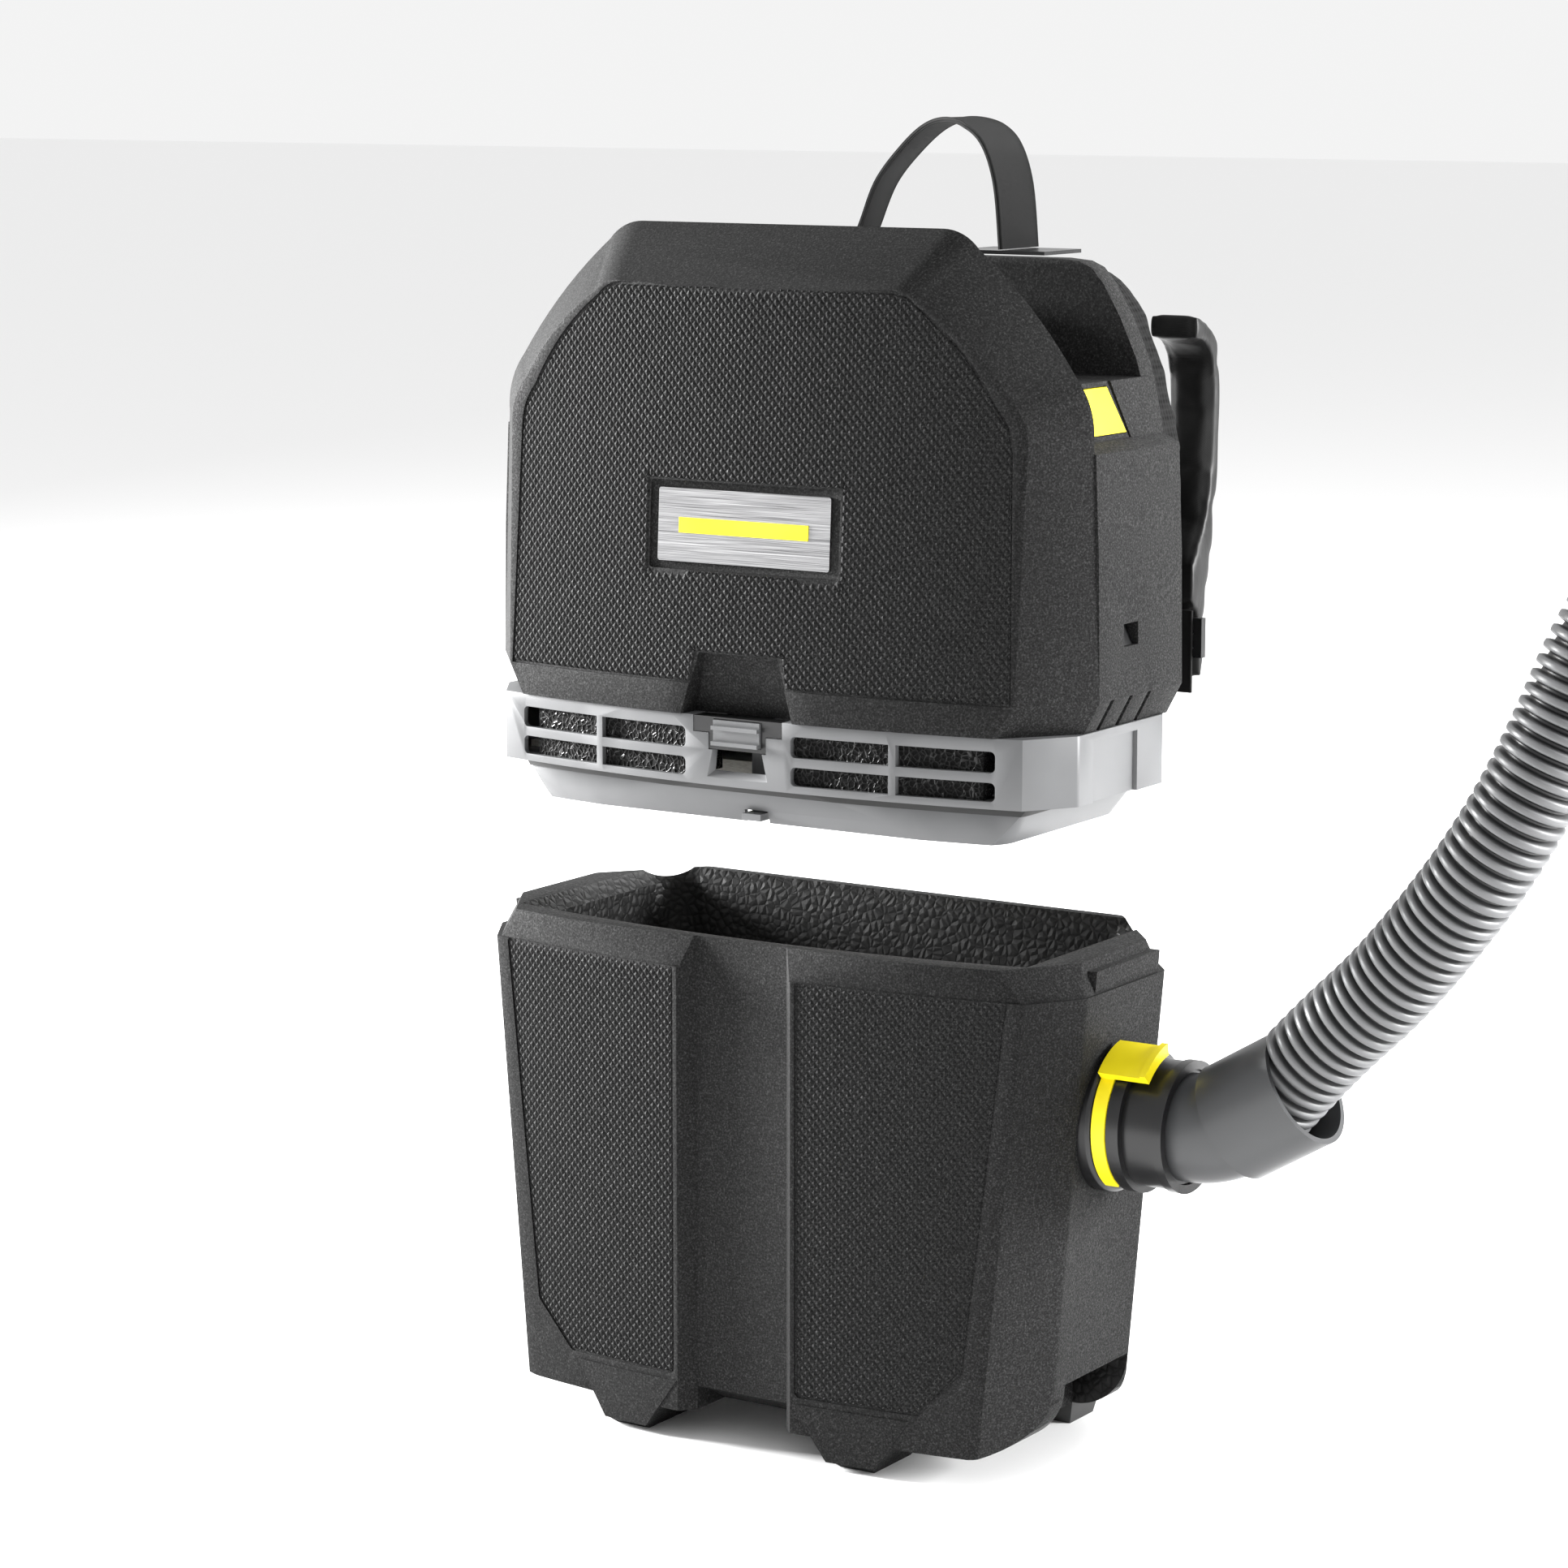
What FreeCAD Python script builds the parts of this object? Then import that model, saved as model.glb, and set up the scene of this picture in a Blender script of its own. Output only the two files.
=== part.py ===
"""Battery backpack vacuum cleaner: dust container below, motor head lifted off it.

Millimetres, +Z up, +Y towards the wearer's back, front towards -Y.
Origin: on the floor, under the middle of the machine.
"""
import FreeCAD, Part
import math
import os

V = FreeCAD.Vector
os.makedirs("parts", exist_ok=True)

# ---------------------------------------------------------------- driving dimensions
body_half_width = 157.5      # half the container's width at its seam
base_half_width = 140.7      # and at its base, because the sides draw in
front_y = -96.0              # foremost line of the container's front
back_y = 62.0                # container's back, against the wearer
crown_radius = 650.0         # the front faces are crowned across the width
foot_height = 14.0           # the tub's underside above the floor
seam_z = 221.0               # seam under the container's rim lip
rim_z = 235.0                # top of the container
lift = 70.0                  # how far the head stands above its seat
clear = 0.4                  # between pieces that move past each other
soft_gap = 0.3               # round soft pieces

tub_wall_side = 20.0
tub_wall_front = 15.0
tub_wall_back = 14.0
tub_floor = 12.0
lead_in = 5.0                # flare of the opening for the skirt
base_radius = 28.0

band_height = 31.0
band_wall = 3.0
band_half_width = body_half_width - 5.5
skirt_drop = 18.0
skirt_wall = 2.5

drawn_head_height = 215.5    # height that the head's outline is drawn for
head_height = 215.5          # from the band's top to the top of the front cover
cover_wall = 13.0
rear_wall = 12.0

hose_diameter = 42.0
inlet_radius = 17.5          # air passage, 35 mm bore
flange_radius = 33.6

# ---------------------------------------------------------------- levels worked out from them
band_z0 = rim_z + lift
band_z1 = band_z0 + band_height
head_z0 = band_z1
head_z1 = head_z0 + head_height


def up(height):
    """A height above the head's base, stretched with the head."""
    return head_z0 + height * head_height / drawn_head_height


split_y = -48.0              # joint between front cover and rear body
bay_back_y = 16.0            # front of the wall behind the battery bay
rear_y = bay_back_y + rear_wall
strip_height = 14.0          # plain strip that draws in at the head's base
ledge_z = up(150.0)
shoulder_z = up(121.0)
frame_top_z = up(200.5)
head_half_width = body_half_width + 1

port_y = -19.0
port_z = 161.0


# ---------------------------------------------------------------- helpers
def save(shape, node):
    """Write one node's solids, and say what was made."""
    shape = shape.removeSplitter() if shape.ShapeType != "Compound" else shape
    if not shape.isValid():
        print("NOT VALID:", node)
    shape.exportStep(f"parts/{node}.step")
    around = shape.optimalBoundingBox()
    print(f"{node}: {len(shape.Solids)} solid(s), {shape.Volume / 1000:.1f} cm3, "
          f"x {around.XMin:.1f}..{around.XMax:.1f} y {around.YMin:.1f}..{around.YMax:.1f} "
          f"z {around.ZMin:.1f}..{around.ZMax:.1f}")


def box(x0, x1, y0, y1, z0, z1):
    return Part.makeBox(x1 - x0, y1 - y0, z1 - z0, V(x0, y0, z0))


def rod(start, direction, radius, length):
    return Part.makeCylinder(radius, length, V(*start), V(*direction))


def tube(start, direction, outer, inner, length):
    return rod(start, direction, outer, length).cut(rod(start, direction, inner, length))


def mirrored(points):
    """The points of the right half, then those of the left half in turn."""
    return list(points) + [(-u, v) for u, v in reversed(points)]


def to_plane(plane, u, v, w):
    """A profile's (u, v) at height w over its plane: xy, xz or yz."""
    return {"xy": V(u, v, w), "xz": V(u, w, v), "yz": V(w, u, v)}[plane]


def polygon(points, plane, w):
    corners = [to_plane(plane, u, v, w) for u, v in points]
    return Part.makePolygon(corners + [corners[0]])


def rounded(points, radius, plane, w):
    """A closed polygon with every corner turned by an arc of the given radius."""
    corners = [to_plane(plane, u, v, w) for u, v in points]
    count = len(corners)
    starts, ends, middles = [], [], []
    for i, corner in enumerate(corners):
        before = (corners[i - 1] - corner).normalize()
        after = (corners[(i + 1) % count] - corner).normalize()
        half = before.getAngle(after) / 2
        setback = radius / math.tan(half)
        inward = (before + after).normalize()
        centre = corner + inward * (radius / math.sin(half))
        starts.append(corner + before * setback)
        ends.append(corner + after * setback)
        middles.append(centre - inward * radius)
    edges = []
    for i in range(count):
        edges.append(Part.Arc(starts[i], middles[i], ends[i]).toShape())
        edges.append(Part.LineSegment(ends[i], starts[(i + 1) % count]).toShape())
    return Part.Wire(edges)


def prism(wire, plane, depth):
    """Push a closed wire through the given depth, square to its plane."""
    return Part.Face(wire).extrude(to_plane(plane, 0, 0, depth))


def loft(*wires):
    return Part.makeLoft(list(wires), True, True)


def both_sides(shape):
    """The shape and its mirror image across the middle."""
    return [shape, shape.mirror(V(0, 0, 0), V(1, 0, 0))]


def crowned(front, z0, z1, lean=0.0):
    """Everything behind a crowned front face; lean is how far the face leans back per mm of height."""
    axis = V(0, lean, 1).normalize()
    foot = V(0, front + crown_radius, z0) - axis * 50
    return Part.makeCylinder(crown_radius, z1 - z0 + 120, foot, axis)


def hollow_plan(half, front, back, cut_front, cut_back_x, cut_back_y):
    """Right half of the plan, from the front centre round to the back centre."""
    return [
        (half - cut_front, front),
        (half, front + cut_front + 16),
        (half, back - cut_back_y),
        (half - cut_back_x, back),
    ]


def plan(half, front, back):
    """The closed plan of the container and band: cut corners in front, longer cuts behind."""
    return mirrored(hollow_plan(half, front, back, 26, 36, 44))


def on_axis(u, v):
    """(u, v) in the plane through the port axis, for things that turn about it."""
    return V(u, port_y, port_z + v)


# ================================================================ dust container
def half_width(z):
    """The container draws in evenly from its seam to its base."""
    share = (z - foot_height) / (seam_z - foot_height)
    return base_half_width + (body_half_width - base_half_width) * share


tub_core = loft(
    rounded(plan(half_width(foot_height), front_y, back_y - 3), 5, "xy", foot_height),
    rounded(plan(half_width(seam_z), front_y, back_y), 5, "xy", seam_z),
)
tub_core = tub_core.common(crowned(front_y, 0, rim_z))

low_x = half_width(foot_height) - base_radius
turn_z = foot_height + base_radius
turn_x = half_width(turn_z)
bulge_x = turn_x - base_radius * (1 - math.cos(math.radians(45)))
bulge_z = turn_z - base_radius * math.cos(math.radians(45))
high_x = half_width(seam_z) + 5
high_z = seam_z + 60
side_wire = Part.Wire([
    Part.LineSegment(V(-low_x, -200, foot_height), V(low_x, -200, foot_height)).toShape(),
    Part.Arc(V(low_x, -200, foot_height), V(bulge_x, -200, bulge_z), V(turn_x, -200, turn_z)).toShape(),
    Part.LineSegment(V(turn_x, -200, turn_z), V(high_x, -200, high_z)).toShape(),
    Part.LineSegment(V(high_x, -200, high_z), V(-high_x, -200, high_z)).toShape(),
    Part.LineSegment(V(-high_x, -200, high_z), V(-turn_x, -200, turn_z)).toShape(),
    Part.Arc(V(-turn_x, -200, turn_z), V(-bulge_x, -200, bulge_z), V(-low_x, -200, foot_height)).toShape(),
])
tub_core = tub_core.common(prism(side_wire, "xz", 400))

# underside: rounded off towards the back, a small lead in front, higher under the channel
end_view = rounded(
    [(front_y - 6, foot_height), (back_y - 2, foot_height), (back_y + 30, rim_z + 60),
     (front_y - 6, rim_z + 60)],
    5, "yz", -200)
tub_core = tub_core.common(prism(end_view, "yz", 400))

lip_inset = 7.0
lip_step = 1.5
lip_low = half_width(seam_z) - lip_step
lip_core = loft(
    rounded(plan(lip_low, front_y + lip_step, back_y - lip_step), 5, "xy", seam_z - 0.01),
    rounded(plan(lip_low - lip_inset + lip_step, front_y + lip_inset, back_y - lip_inset + 2), 5, "xy", rim_z),
)
lip_core = lip_core.common(
    Part.makeCylinder(crown_radius, rim_z, V(0, front_y + lip_step + crown_radius, 0)))

panel_y0 = -44.0             # smooth side panels, which run up into the lip
panel_y1 = 14.0
panel_top = rim_z - 4
side_panel = loft(
    polygon([(0, panel_y0), (half_width(foot_height + base_radius) - 0.8, panel_y0),
             (half_width(foot_height + base_radius) - 0.8, panel_y1), (0, panel_y1)], "xy",
            foot_height + base_radius),
    polygon([(0, panel_y0), (half_width(panel_top) - 1.6, panel_y0),
             (half_width(panel_top) - 1.6, panel_y1), (0, panel_y1)], "xy", panel_top),
)
tub_core = tub_core.fuse([lip_core] + both_sides(side_panel))

# cavity, with a flared mouth
cavity_top = rim_z - 7
cavity_half = body_half_width - lip_inset - tub_wall_side
cavity_front = front_y + tub_wall_front
cavity_back = back_y - tub_wall_back


def cavity_wire(inset, z):
    half, front, back = cavity_half - inset, cavity_front + inset / 2, cavity_back - inset
    return rounded(mirrored([(half, front), (half, back)]), 18, "xy", z)


cavity = loft(cavity_wire(11, foot_height + tub_floor), cavity_wire(0, cavity_top))
cavity = cavity.common(Part.makeCylinder(crown_radius, 500, V(0, cavity_front + crown_radius, 0)))
mouth = loft(
    rounded(mirrored([(cavity_half, cavity_front), (cavity_half, cavity_back)]), 18, "xy", cavity_top),
    rounded(mirrored([(cavity_half + lead_in, cavity_front - 2.5), (cavity_half + lead_in, cavity_back + 3.5)]),
            18, "xy", rim_z + 0.01),
)
mouth = mouth.common(Part.makeCylinder(crown_radius, 500, V(0, cavity_front - 2 + crown_radius, 0)))
tub = tub_core.cut(cavity).cut(mouth)

# central channel down the front, with sloping walls
channel_half = 31.0
channel_depth = 8.0
channel = prism(polygon([
    (-channel_half - 2.2, front_y - 2.5), (-channel_half + 7, front_y + channel_depth),
    (channel_half - 7, front_y + channel_depth), (channel_half + 2.2, front_y - 2.5)], "xy", 0), "xy", rim_z + 5)
tub = tub.cut(channel)
under_channel = prism(polygon([
    (front_y - 5, 0), (front_y + 40, 0), (front_y + 30, foot_height), (front_y + channel_depth + 3, foot_height + 11),
    (front_y - 5, foot_height + 11)], "yz", -channel_half + 7), "yz", 2 * (channel_half - 7))
tub = tub.cut(under_channel)

# finger recesses under both side panels
grip = prism(polygon([
    (panel_y0, 0), (panel_y1, 0), (panel_y1, foot_height + base_radius), (panel_y0, foot_height + base_radius)],
    "yz", half_width(foot_height) - 26), "yz", 80)
for cut in both_sides(grip):
    tub = tub.cut(cut)

# shallow fields for the diamond texture, either side of the channel
field_depth = 0.8
field = prism(rounded([
    (channel_half + 1.5, 31), (94, 31), (115, 52), (134, 222), (channel_half + 1.5, 222)], 3, "xz", front_y - 20),
    "xz", 60)
field = field.cut(Part.makeCylinder(crown_radius, 400, V(0, front_y + field_depth + crown_radius, -50)))
for cut in both_sides(field):
    tub = tub.cut(cut)

# front feet: faceted blocks let into the bottom edge
foot_top = 28.0
foot_mid = channel_half + 30
foot_proud = 0.4             # the feet stand out from the tub's front by this
sole_z = 3.5


def front_foot():
    """A block with a crowned front and slanting sides, from the tub's front edge down to the floor."""
    inner, outer = channel_half, channel_half + 59
    wide = [(inner, front_y - 2), (outer, front_y - 2), (outer, front_y + 52), (inner, front_y + 52)]
    low = [(inner + 18, front_y - 2), (outer - 17, front_y - 2), (outer - 17, front_y + 44), (inner + 18, front_y + 44)]
    foot = loft(polygon(wide, "xy", foot_top), polygon(low, "xy", sole_z))
    foot = foot.common(Part.makeCylinder(crown_radius, foot_top, V(0, front_y - foot_proud + crown_radius, 0)))
    sole = loft(polygon([(x, max(y, front_y + 4)) for x, y in low], "xy", sole_z + 0.5),
                polygon([(foot_mid - 9, front_y + 9), (foot_mid + 9, front_y + 9), (foot_mid + 9, front_y + 40),
                         (foot_mid - 9, front_y + 40)], "xy", 0))
    under_floor = foot_height + tub_floor - 4
    return foot.fuse(sole).cut(box(0, 200, cavity_front - 4, 0, under_floor, foot_top + 1))


feet = both_sides(front_foot())
rear_foot = loft(
    polygon([(70, 20), (112, 20), (112, 50), (70, 50)], "xy", foot_height + 4),
    polygon([(74, 24), (108, 24), (108, 46), (74, 46)], "xy", 0),
)
for foot in feet + both_sides(rear_foot):
    tub = tub.cut(foot)

# inlet port in the right-hand wall
wall_x = half_width(port_z)
flange_seat_x = wall_x - 4.5
tub = tub.cut(rod((flange_seat_x, port_y, port_z), (1, 0, 0), flange_radius, 30))
tub = tub.cut(rod((60, port_y, port_z), (1, 0, 0), inlet_radius + 4.5, 120))
nut_length = 5.0
inner_wall_x = cavity_half - 11 * (cavity_top - port_z) / (cavity_top - foot_height - tub_floor)
tub = tub.cut(rod((inner_wall_x - 30, port_y, port_z), (1, 0, 0), 31, 32.5))

# keeper for the head's latch, let into the inside of the front wall
keeper = box(-16, 16, cavity_front - 6, cavity_front + 0.6, rim_z - 26, rim_z - 8)
keeper = keeper.cut(box(-9, 9, cavity_front - 3.5, cavity_front + 5, rim_z - 19, rim_z - 13))
tub = tub.cut(box(-16, 16, cavity_front - 6, cavity_front + 5, rim_z - 26, rim_z - 8))
save(tub, "container_tub")
save(feet[0], "front_foot_right")
save(feet[1], "front_foot_left")
save(Part.makeCompound(both_sides(rear_foot)), "rear_feet")
save(keeper, "latch_keeper")

# ================================================================ inlet port and hose coupling
flange_face_x = half_width(port_z + flange_radius) + 2.77
flange_end_x = inner_wall_x - 16
socket_x = flange_face_x + 23.5
nose_radius = inlet_radius + 2.2
flange = rod((flange_seat_x, port_y, port_z), (1, 0, 0), flange_radius - 0.1, flange_face_x - flange_seat_x)
flange = flange.fuse(rod((flange_end_x, port_y, port_z), (1, 0, 0), inlet_radius + 4.4,
                         flange_face_x - flange_end_x))
flange = flange.cut(rod((0, port_y, port_z), (1, 0, 0), nose_radius + clear / 2, 400))
seal_x = flange_face_x - 7
seal_width = 2.4
flange = flange.cut(rod((seal_x, port_y, port_z), (1, 0, 0), nose_radius + 1.4, seal_width))
rim_edges = [e for e in flange.Edges
             if abs(e.BoundBox.XMin - flange_face_x) < 0.01 and e.BoundBox.ZLength > 2 * flange_radius - 1]
flange = flange.makeFillet(2.2, rim_edges)
save(flange, "inlet_flange")
save(tube((seal_x, port_y, port_z), (1, 0, 0), nose_radius + 1.3, nose_radius + 0.1, seal_width), "inlet_seal")

nut = tube((inner_wall_x - 3.5, port_y, port_z), (1, 0, 0), 30.5, inlet_radius + 4.5, nut_length)
save(nut, "inlet_nut")

lock_x0 = flange_face_x + clear
lock_width = 6.5
lock_x1 = lock_x0 + lock_width
collar_x0 = lock_x1 + clear
collar_rib = 6.0
collar_length = 26.0
collar_x1 = collar_x0 + collar_length
lock_radius = flange_radius - 1.2

collar = rod((flange_face_x + 0.2, port_y, port_z), (1, 0, 0), 28.6, collar_x1 - flange_face_x - 0.2)
collar = collar.fuse(rod((collar_x0, port_y, port_z), (1, 0, 0), 31.8, collar_rib))
collar = collar.fuse(rod((collar_x1 - 4.5, port_y, port_z), (1, 0, 0), 29.6, 4.5))
nose_length = 24.0
collar = collar.fuse(rod((flange_face_x - nose_length, port_y, port_z), (1, 0, 0), nose_radius, nose_length + 1))
elbow_socket_radius = 25.6
collar = collar.cut(rod((0, port_y, port_z), (1, 0, 0), inlet_radius, 400))
collar = collar.cut(rod((socket_x, port_y, port_z), (1, 0, 0), elbow_socket_radius, 60))
save(collar, "hose_collar")


def sector(x0, x1, outer, inner, from_deg, to_deg):
    """Part of a ring about the port axis; 0 deg is +Y, 90 deg is up."""
    ring = tube((x0, port_y, port_z), (1, 0, 0), outer, inner, x1 - x0)
    span = to_deg - from_deg
    count = max(1, math.ceil(span / 60))
    reach = 2 * outer
    rays = [math.radians(from_deg + span * i / count) for i in range(count + 1)]
    corners = [V(x0 - 1, port_y, port_z)]
    corners += [V(x0 - 1, port_y + reach * math.cos(a), port_z + reach * math.sin(a)) for a in rays]
    wedge = Part.Face(Part.makePolygon(corners + [corners[0]])).extrude(V(x1 - x0 + 2, 0, 0))
    return ring.common(wedge)


tab_from, tab_to = 100.0, 136.0
lock_ring = sector(lock_x0, lock_x1, lock_radius, 28.6 + clear, tab_from, 236)
tab = sector(lock_x0, collar_x0 + 17, lock_radius + 4.6, lock_radius + 0.6, tab_from, tab_to)
tab = tab.fuse(sector(lock_x0, lock_x1, lock_radius + 4.6, 28.6 + clear, tab_from, tab_to))
tab = tab.fuse(sector(collar_x0 + 14, collar_x0 + 17, lock_radius + 6.0, lock_radius + 0.6, tab_from, tab_to))
save(lock_ring.fuse(tab), "lock_ring")

# elbow: short bend from the port axis up to the cuff
cuff_angle = math.radians(31)
bend_radius = 36.0
elbow_x0 = socket_x + 0.3
elbow_radius = 24.0
bend_x = collar_x1 + 2
along = V(math.cos(cuff_angle), 0, math.sin(cuff_angle))
bend_path = Part.Wire([Part.Arc(
    on_axis(bend_x, 0),
    on_axis(bend_x + bend_radius * math.sin(cuff_angle / 2), bend_radius * (1 - math.cos(cuff_angle / 2))),
    on_axis(bend_x + bend_radius * math.sin(cuff_angle), bend_radius * (1 - math.cos(cuff_angle))),
).toShape()])
bend_end = on_axis(bend_x + bend_radius * math.sin(cuff_angle), bend_radius * (1 - math.cos(cuff_angle)))


def bend_tube(radius):
    """A round bar through the straight, the bend and the run into the cuff."""
    circle = Part.Wire([Part.makeCircle(radius, on_axis(bend_x, 0), V(1, 0, 0))])
    bent = bend_path.makePipeShell([circle], True, True)
    straight = rod((elbow_x0, port_y, port_z), (1, 0, 0), radius, bend_x - elbow_x0)
    run = Part.makeCylinder(radius, 14, bend_end, along)
    return straight.fuse([bent, run])


elbow = bend_tube(elbow_radius).fuse(rod((elbow_x0, port_y, port_z), (1, 0, 0), elbow_socket_radius - 0.3, 8))
elbow = elbow.cut(bend_tube(inlet_radius))
save(elbow, "hose_elbow")

cuff_length = 39.0
cuff_radius = hose_diameter / 2 + 6
cuff_start = bend_end + along * 0.5
cuff = Part.makeCylinder(cuff_radius, cuff_length, cuff_start, along)
cuff = cuff.cut(Part.makeCylinder(elbow_radius + 0.1, 14, cuff_start - along * 0.5, along))
cuff = cuff.cut(Part.makeCone(hose_diameter / 2 + 0.3, hose_diameter / 2 + 3.5, cuff_length - 13.5,
                              cuff_start + along * 13.5, along))
save(cuff, "hose_cuff")
cuff_mouth = cuff_start + along * cuff_length

# ================================================================ dust bag
collar_half = 38.0           # half the side of the bag's cardboard collar
bag_plate = box(flange_end_x + 1.7, flange_end_x + 4.1, port_y - collar_half, port_y + collar_half,
                port_z - collar_half, port_z + collar_half)
bag_plate = bag_plate.cut(rod((flange_end_x - 10, port_y, port_z), (1, 0, 0), inlet_radius + 4.8, 40))
save(bag_plate, "bag_collar")
bag_top = port_z + 21
bag = box(0.9 - flange_end_x, flange_end_x - 2.9, -64, 36, foot_height + tub_floor + 1, bag_top)
save(bag.makeFillet(22, bag.Edges), "dust_bag")

# ================================================================ suction hose
# free length: rises from the cuff, turns over to the right and comes down to lie on the floor
hose_start = cuff_mouth - along * 21
floor_rest = hose_diameter / 2
hose_route = [
    hose_start,
    hose_start + V(32.2, -1, 26.3),
    hose_start + V(68.2, -2, 72.3),
    hose_start + V(103.2, -9, 147.3),
    hose_start + V(166.2, 12, 225.3),
    hose_start + V(254.2, 62, 276.3),
    hose_start + V(348.2, 132, 279.3),
    hose_start + V(430.2, 212, 227.3),
    hose_start + V(468.2, 285, 129.3),
    hose_start + V(446.2, 338, 13.3),
    hose_start + V(366.2, 362, -89.7),
    V(hose_start.x + 236.2, 329, floor_rest),
    V(hose_start.x + 94.2, 331, floor_rest),
]


def tangent_path(points):
    """Straight runs joined by arcs, each as large as its two runs allow; also the smallest radius."""
    edges, radii = [], []
    place = points[0]
    for before, corner, after in zip(points, points[1:], points[2:]):
        back, on = before - corner, after - corner
        shorter = min(back.Length, on.Length)
        back.normalize()
        on.normalize()
        half_turn = (math.pi - back.getAngle(on)) / 2
        setback = 0.45 * shorter
        radius = setback / math.tan(half_turn)
        inward = (back + on).normalize()
        centre = corner + inward * (radius / math.cos(half_turn))
        begin, finish = corner + back * setback, corner + on * setback
        edges.append(Part.LineSegment(place, begin).toShape())
        edges.append(Part.Arc(begin, centre - inward * radius, finish).toShape())
        radii.append(radius)
        place = finish
    edges.append(Part.LineSegment(place, points[-1]).toShape())
    return Part.Wire(edges), radii


hose_path, hose_radii = tangent_path(hose_route)
circle = Part.Wire([Part.makeCircle(hose_diameter / 2, hose_route[0], hose_route[1] - hose_route[0])])
hose = hose_path.makePipeShell([circle], True, True)
hose_share = hose.Volume / (math.pi * (hose_diameter / 2) ** 2 * hose_path.Length)
print("hose length", round(hose_path.Length), "radii", [round(r) for r in hose_radii])
print("hose volume over section times length", round(hose_share, 4))
save(hose, "suction_hose")

# connector on the far end, lying on the floor
end_run = (hose_route[-1] - hose_route[-2]).normalize()
end_start = hose_route[-1]
connector = Part.makeCone(floor_rest, floor_rest - 3, 62, end_start, end_run)
connector = connector.fuse(Part.makeCylinder(floor_rest, 26, end_start, end_run))
connector = connector.cut(Part.makeCylinder(inlet_radius - 1, 63, end_start, end_run))
save(connector, "hose_end_connector")

# ================================================================ head: filter frame and skirt
slip = 0.2                   # round a piece that is pushed into its seat
band_front = -91.5
tab_y0, tab_y1 = -1.0, 23.0
recess_y0 = -41.0


def band_block(inset, z0, z1):
    """The band's plan, drawn in by the inset, between two heights."""
    points = mirrored([
        (127.5 - inset * 0.6, band_front + inset),
        (band_half_width - inset, -54 + inset * 0.4),
        (band_half_width - inset, tab_y1 - inset * 0.4),
        (118 - inset * 0.6, back_y - inset),
    ])
    block = prism(rounded(points, 4, "xy", z0), "xy", z1 - z0)
    return block.common(Part.makeCylinder(crown_radius, 500, V(0, band_front + inset + crown_radius, 0)))


band = band_block(0, band_z0, band_z1).cut(band_block(band_wall, band_z0 - 1, band_z1 - band_wall))
deck_hole = prism(rounded(mirrored([(104, -54), (104, 10)]), 12, "xy", band_z0), "xy", 60)
band = band.cut(deck_hole)
side_recess = box(band_half_width - 2.0, band_half_width + 9, recess_y0, tab_y0, band_z0 - 1, band_z1 - 4)
for cut in both_sides(side_recess):
    band = band.cut(cut)

window_x0, window_x1 = 27.8, 125.0
window_rows = [(band_z0 + 3.2, band_z0 + 11.6), (band_z0 + 15.8, band_z0 + 25.2)]
divider_x, divider_width = 77.5, 3.4
for z0, z1 in window_rows:
    window = prism(rounded([(window_x0, z0), (window_x1, z0), (window_x1, z1), (window_x0, z1)], 2.4, "xz", -120),
                   "xz", 50)
    post = box(divider_x - divider_width / 2, divider_x + divider_width / 2, -120, -20, z0 - 1, z1 + 1)
    for cut in both_sides(window.cut(post)):
        band = band.cut(cut)

# frame of the latch opening
latch_z1 = band_z1 - 0.2
latch_arm_z = band_z1 - 7.5
latch_z0 = band_z1 - 15
hole_z0 = band_z1 - 22.5
band = band.cut(box(-23.5, 23.5, -120, -80, latch_arm_z, band_z1 + 1))
band = band.cut(box(-15.2, 15.2, -120, -80, latch_z0, band_z1 + 1))
band = band.cut(box(-12.8, 12.8, -120, -74, latch_z0 + 1.8, band_z1 + 1))
hole = loft(
    polygon([(-17, hole_z0 - 6), (17, hole_z0 - 6), (13.5, latch_z0 + 0.01), (-13.5, latch_z0 + 0.01)], "xz",
            band_front - 1),
    polygon([(-11.5, hole_z0), (11.5, hole_z0), (11.5, latch_z0 + 0.01), (-11.5, latch_z0 + 0.01)], "xz",
            band_front + 5),
)
band = band.cut(hole).cut(box(-11.5, 11.5, -120, -80, hole_z0, latch_z0 + 1))
screw_places = [(135.0, -30.0), (135.0, 6.0), (-135.0, -30.0), (-135.0, 6.0)]
screw_radius, screw_length = 2.0, 14.0
for x, y in screw_places:
    band = band.cut(rod((x, y, band_z1 - 10), (0, 0, 1), screw_radius, 20))
save(band, "filter_frame")

skirt_half, skirt_front, skirt_back = 134.0, -79.5, cavity_back + 1
skirt_in = 12.0


def skirt_wire(inset, z):
    share = (band_z0 - z) / skirt_drop
    half = skirt_half - skirt_in * share - inset
    front = skirt_front + 5.5 * share + inset
    back = skirt_back - 6 * share - inset
    return rounded(mirrored([(half, front), (half, back)]), 17 - inset, "xy", z)


skirt_z0 = band_z0 - skirt_drop
nose_half, nose_z0, nose_z1 = 5.0, skirt_z0 + 1.5, skirt_z0 + 4.5
skirt = loft(skirt_wire(0, skirt_z0), skirt_wire(0, band_z0 + 1))
skirt = skirt.common(Part.makeCylinder(crown_radius, 500, V(0, skirt_front + crown_radius, 0)))
skirt = skirt.fuse(band_block(band_wall + slip, band_z0, band_z0 + 3))
bore = loft(skirt_wire(skirt_wall, skirt_z0 - 1), skirt_wire(skirt_wall, band_z0 + 4))
bore = bore.common(Part.makeCylinder(crown_radius, 500, V(0, skirt_front + skirt_wall + crown_radius, 0)))
skirt = skirt.cut(bore)
skirt = skirt.cut(box(-nose_half - 1.2, nose_half + 1.2, -82, -68, skirt_z0 - 1, nose_z1 + 1))
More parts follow.
